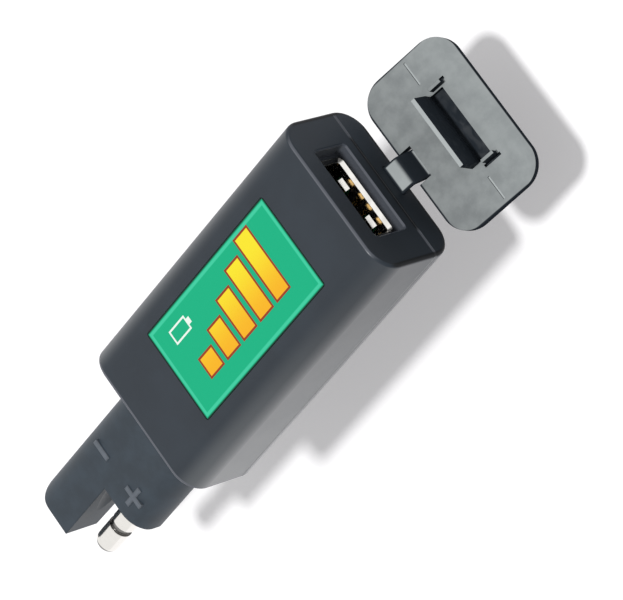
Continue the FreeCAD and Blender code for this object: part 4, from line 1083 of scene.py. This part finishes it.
class CHARGER_OT_stage(bpy.types.Operator):
    """Sets up the floor, the lights and the camera"""

    bl_idname = "charger.stage"
    bl_label = "Stage"

    def execute(self, context):
        sizes = looks(context, "stage")
        context.scene.view_settings.view_transform = "Standard"
        self.floor(sizes)
        self.lights(context, sizes)
        self.camera(context)
        return {"FINISHED"}

    def floor(self, sizes):
        """A wide pale floor, parallel to the case's back face and some way under it."""
        reach = 3.0
        form = bmesh.new()
        form.faces.new([form.verts.new((x * reach, y * reach, -sizes.drop))
                        for x, y in ((-1, -1), (1, -1), (1, 1), (-1, 1))])
        floor = added("floor", whole_mesh(form, "floor"))
        finish = Finish("floor", Roughness=1.0, Specular_IOR_Level=0.0)
        finish.set("Base Color", tuple(sizes.floor))
        plain = Value(finish, finish.shader.outputs[0])
        glow = finish.node("ShaderNodeEmission", None,
                           {"Color": (1.0, 0.975, 0.98), "Strength": sizes.lift})
        lifted = finish.node("ShaderNodeAddShader", None, (plain, glow))
        finish.fill(finish.output, finish.node("ShaderNodeMixShader", None,
                                               (finish.seen_directly(), plain, lifted)))
        wear(finish.material, floor)

    def lights(self, context, sizes):
        """An even surround and one broad key light from above, a little to the port's side."""
        world = bpy.data.worlds.new("studio")
        context.scene.world = world
        world.use_nodes = True
        nodes = Nodes(world.node_tree, "ShaderNodeOutputWorld")
        even = nodes.node("ShaderNodeBackground", None,
                          {"Color": (0.97, 0.98, 1.0), "Strength": sizes.ambient})
        white = nodes.node("ShaderNodeBackground", None, {"Color": (1.0, 1.0, 1.0)})
        nodes.fill(nodes.output, nodes.node("ShaderNodeMixShader", None,
                                            (nodes.seen_directly(), even, white)))
        lamp = bpy.data.lights.new("key", "SUN")
        lamp.energy = sizes.key
        lamp.angle = math.radians(7)
        key = added("key", lamp)
        key.rotation_mode = "QUATERNION"
        towards = Vector((-0.02, -0.20, -1.0))
        key.rotation_quaternion = towards.to_track_quat("-Z", "Y")
        key.location = -towards * 0.5

    def camera(self, context):
        """The photograph's view, as a long lens sees it."""
        lens = bpy.data.cameras.new("camera")
        lens.lens = 242.2
        lens.sensor_width = 36.0
        lens.sensor_fit = "HORIZONTAL"
        lens.clip_start = 0.01
        lens.clip_end = 20.0
        camera = added("camera", lens)
        right = Vector((0.55965915, 0.51940184, -0.64575798))
        up = Vector((-0.77707659, 0.59968622, -0.19112408))
        back = Vector((0.28798197, 0.60876774, 0.73923489))
        stand = Vector((0.17819, 0.37362, 0.45342))
        turn = Matrix((right, up, back)).transposed().to_4x4()
        camera.matrix_world = Matrix.Translation(stand) @ turn
        context.scene.camera = camera


# The panel and the run


GROUPS = (("case", CaseLooks), ("label", LabelLooks), ("port", PortLooks), ("plug", PlugLooks),
          ("cap", CapLooks), ("inside", InsideLooks), ("stage", StageLooks))
STEPS = (CHARGER_OT_case, CHARGER_OT_label, CHARGER_OT_port, CHARGER_OT_plug, CHARGER_OT_marks,
         CHARGER_OT_strap, CHARGER_OT_cap, CHARGER_OT_inside, CHARGER_OT_stage)


class CHARGER_PT_builder(bpy.types.Panel):
    """Lists the charger's pieces and their sizes and colours"""

    bl_idname = "CHARGER_PT_builder"
    bl_label = "In-line USB charger"
    bl_space_type = "VIEW_3D"
    bl_region_type = "UI"
    bl_category = "Charger"

    def draw(self, context):
        for step in STEPS:
            self.layout.operator(step.bl_idname)
        for name, kind in GROUPS:
            box = self.layout.box()
            box.label(text=kind.__doc__)
            group = looks(context, name)
            for key in kind.__annotations__:
                box.prop(group, key)


def register():
    for name, kind in GROUPS:
        bpy.utils.register_class(kind)
        setattr(bpy.types.Scene, "charger_" + name, PointerProperty(type=kind))
    for kind in (*STEPS, CHARGER_PT_builder):
        bpy.utils.register_class(kind)


def unregister():
    for kind in (CHARGER_PT_builder, *reversed(STEPS)):
        bpy.utils.unregister_class(kind)
    for name, kind in reversed(GROUPS):
        delattr(bpy.types.Scene, "charger_" + name)
        bpy.utils.unregister_class(kind)


def main():
    register()
    for step in STEPS:
        name = step.bl_idname.split(".")[1]
        getattr(bpy.ops.charger, name)()


if __name__ == "__main__":
    main()
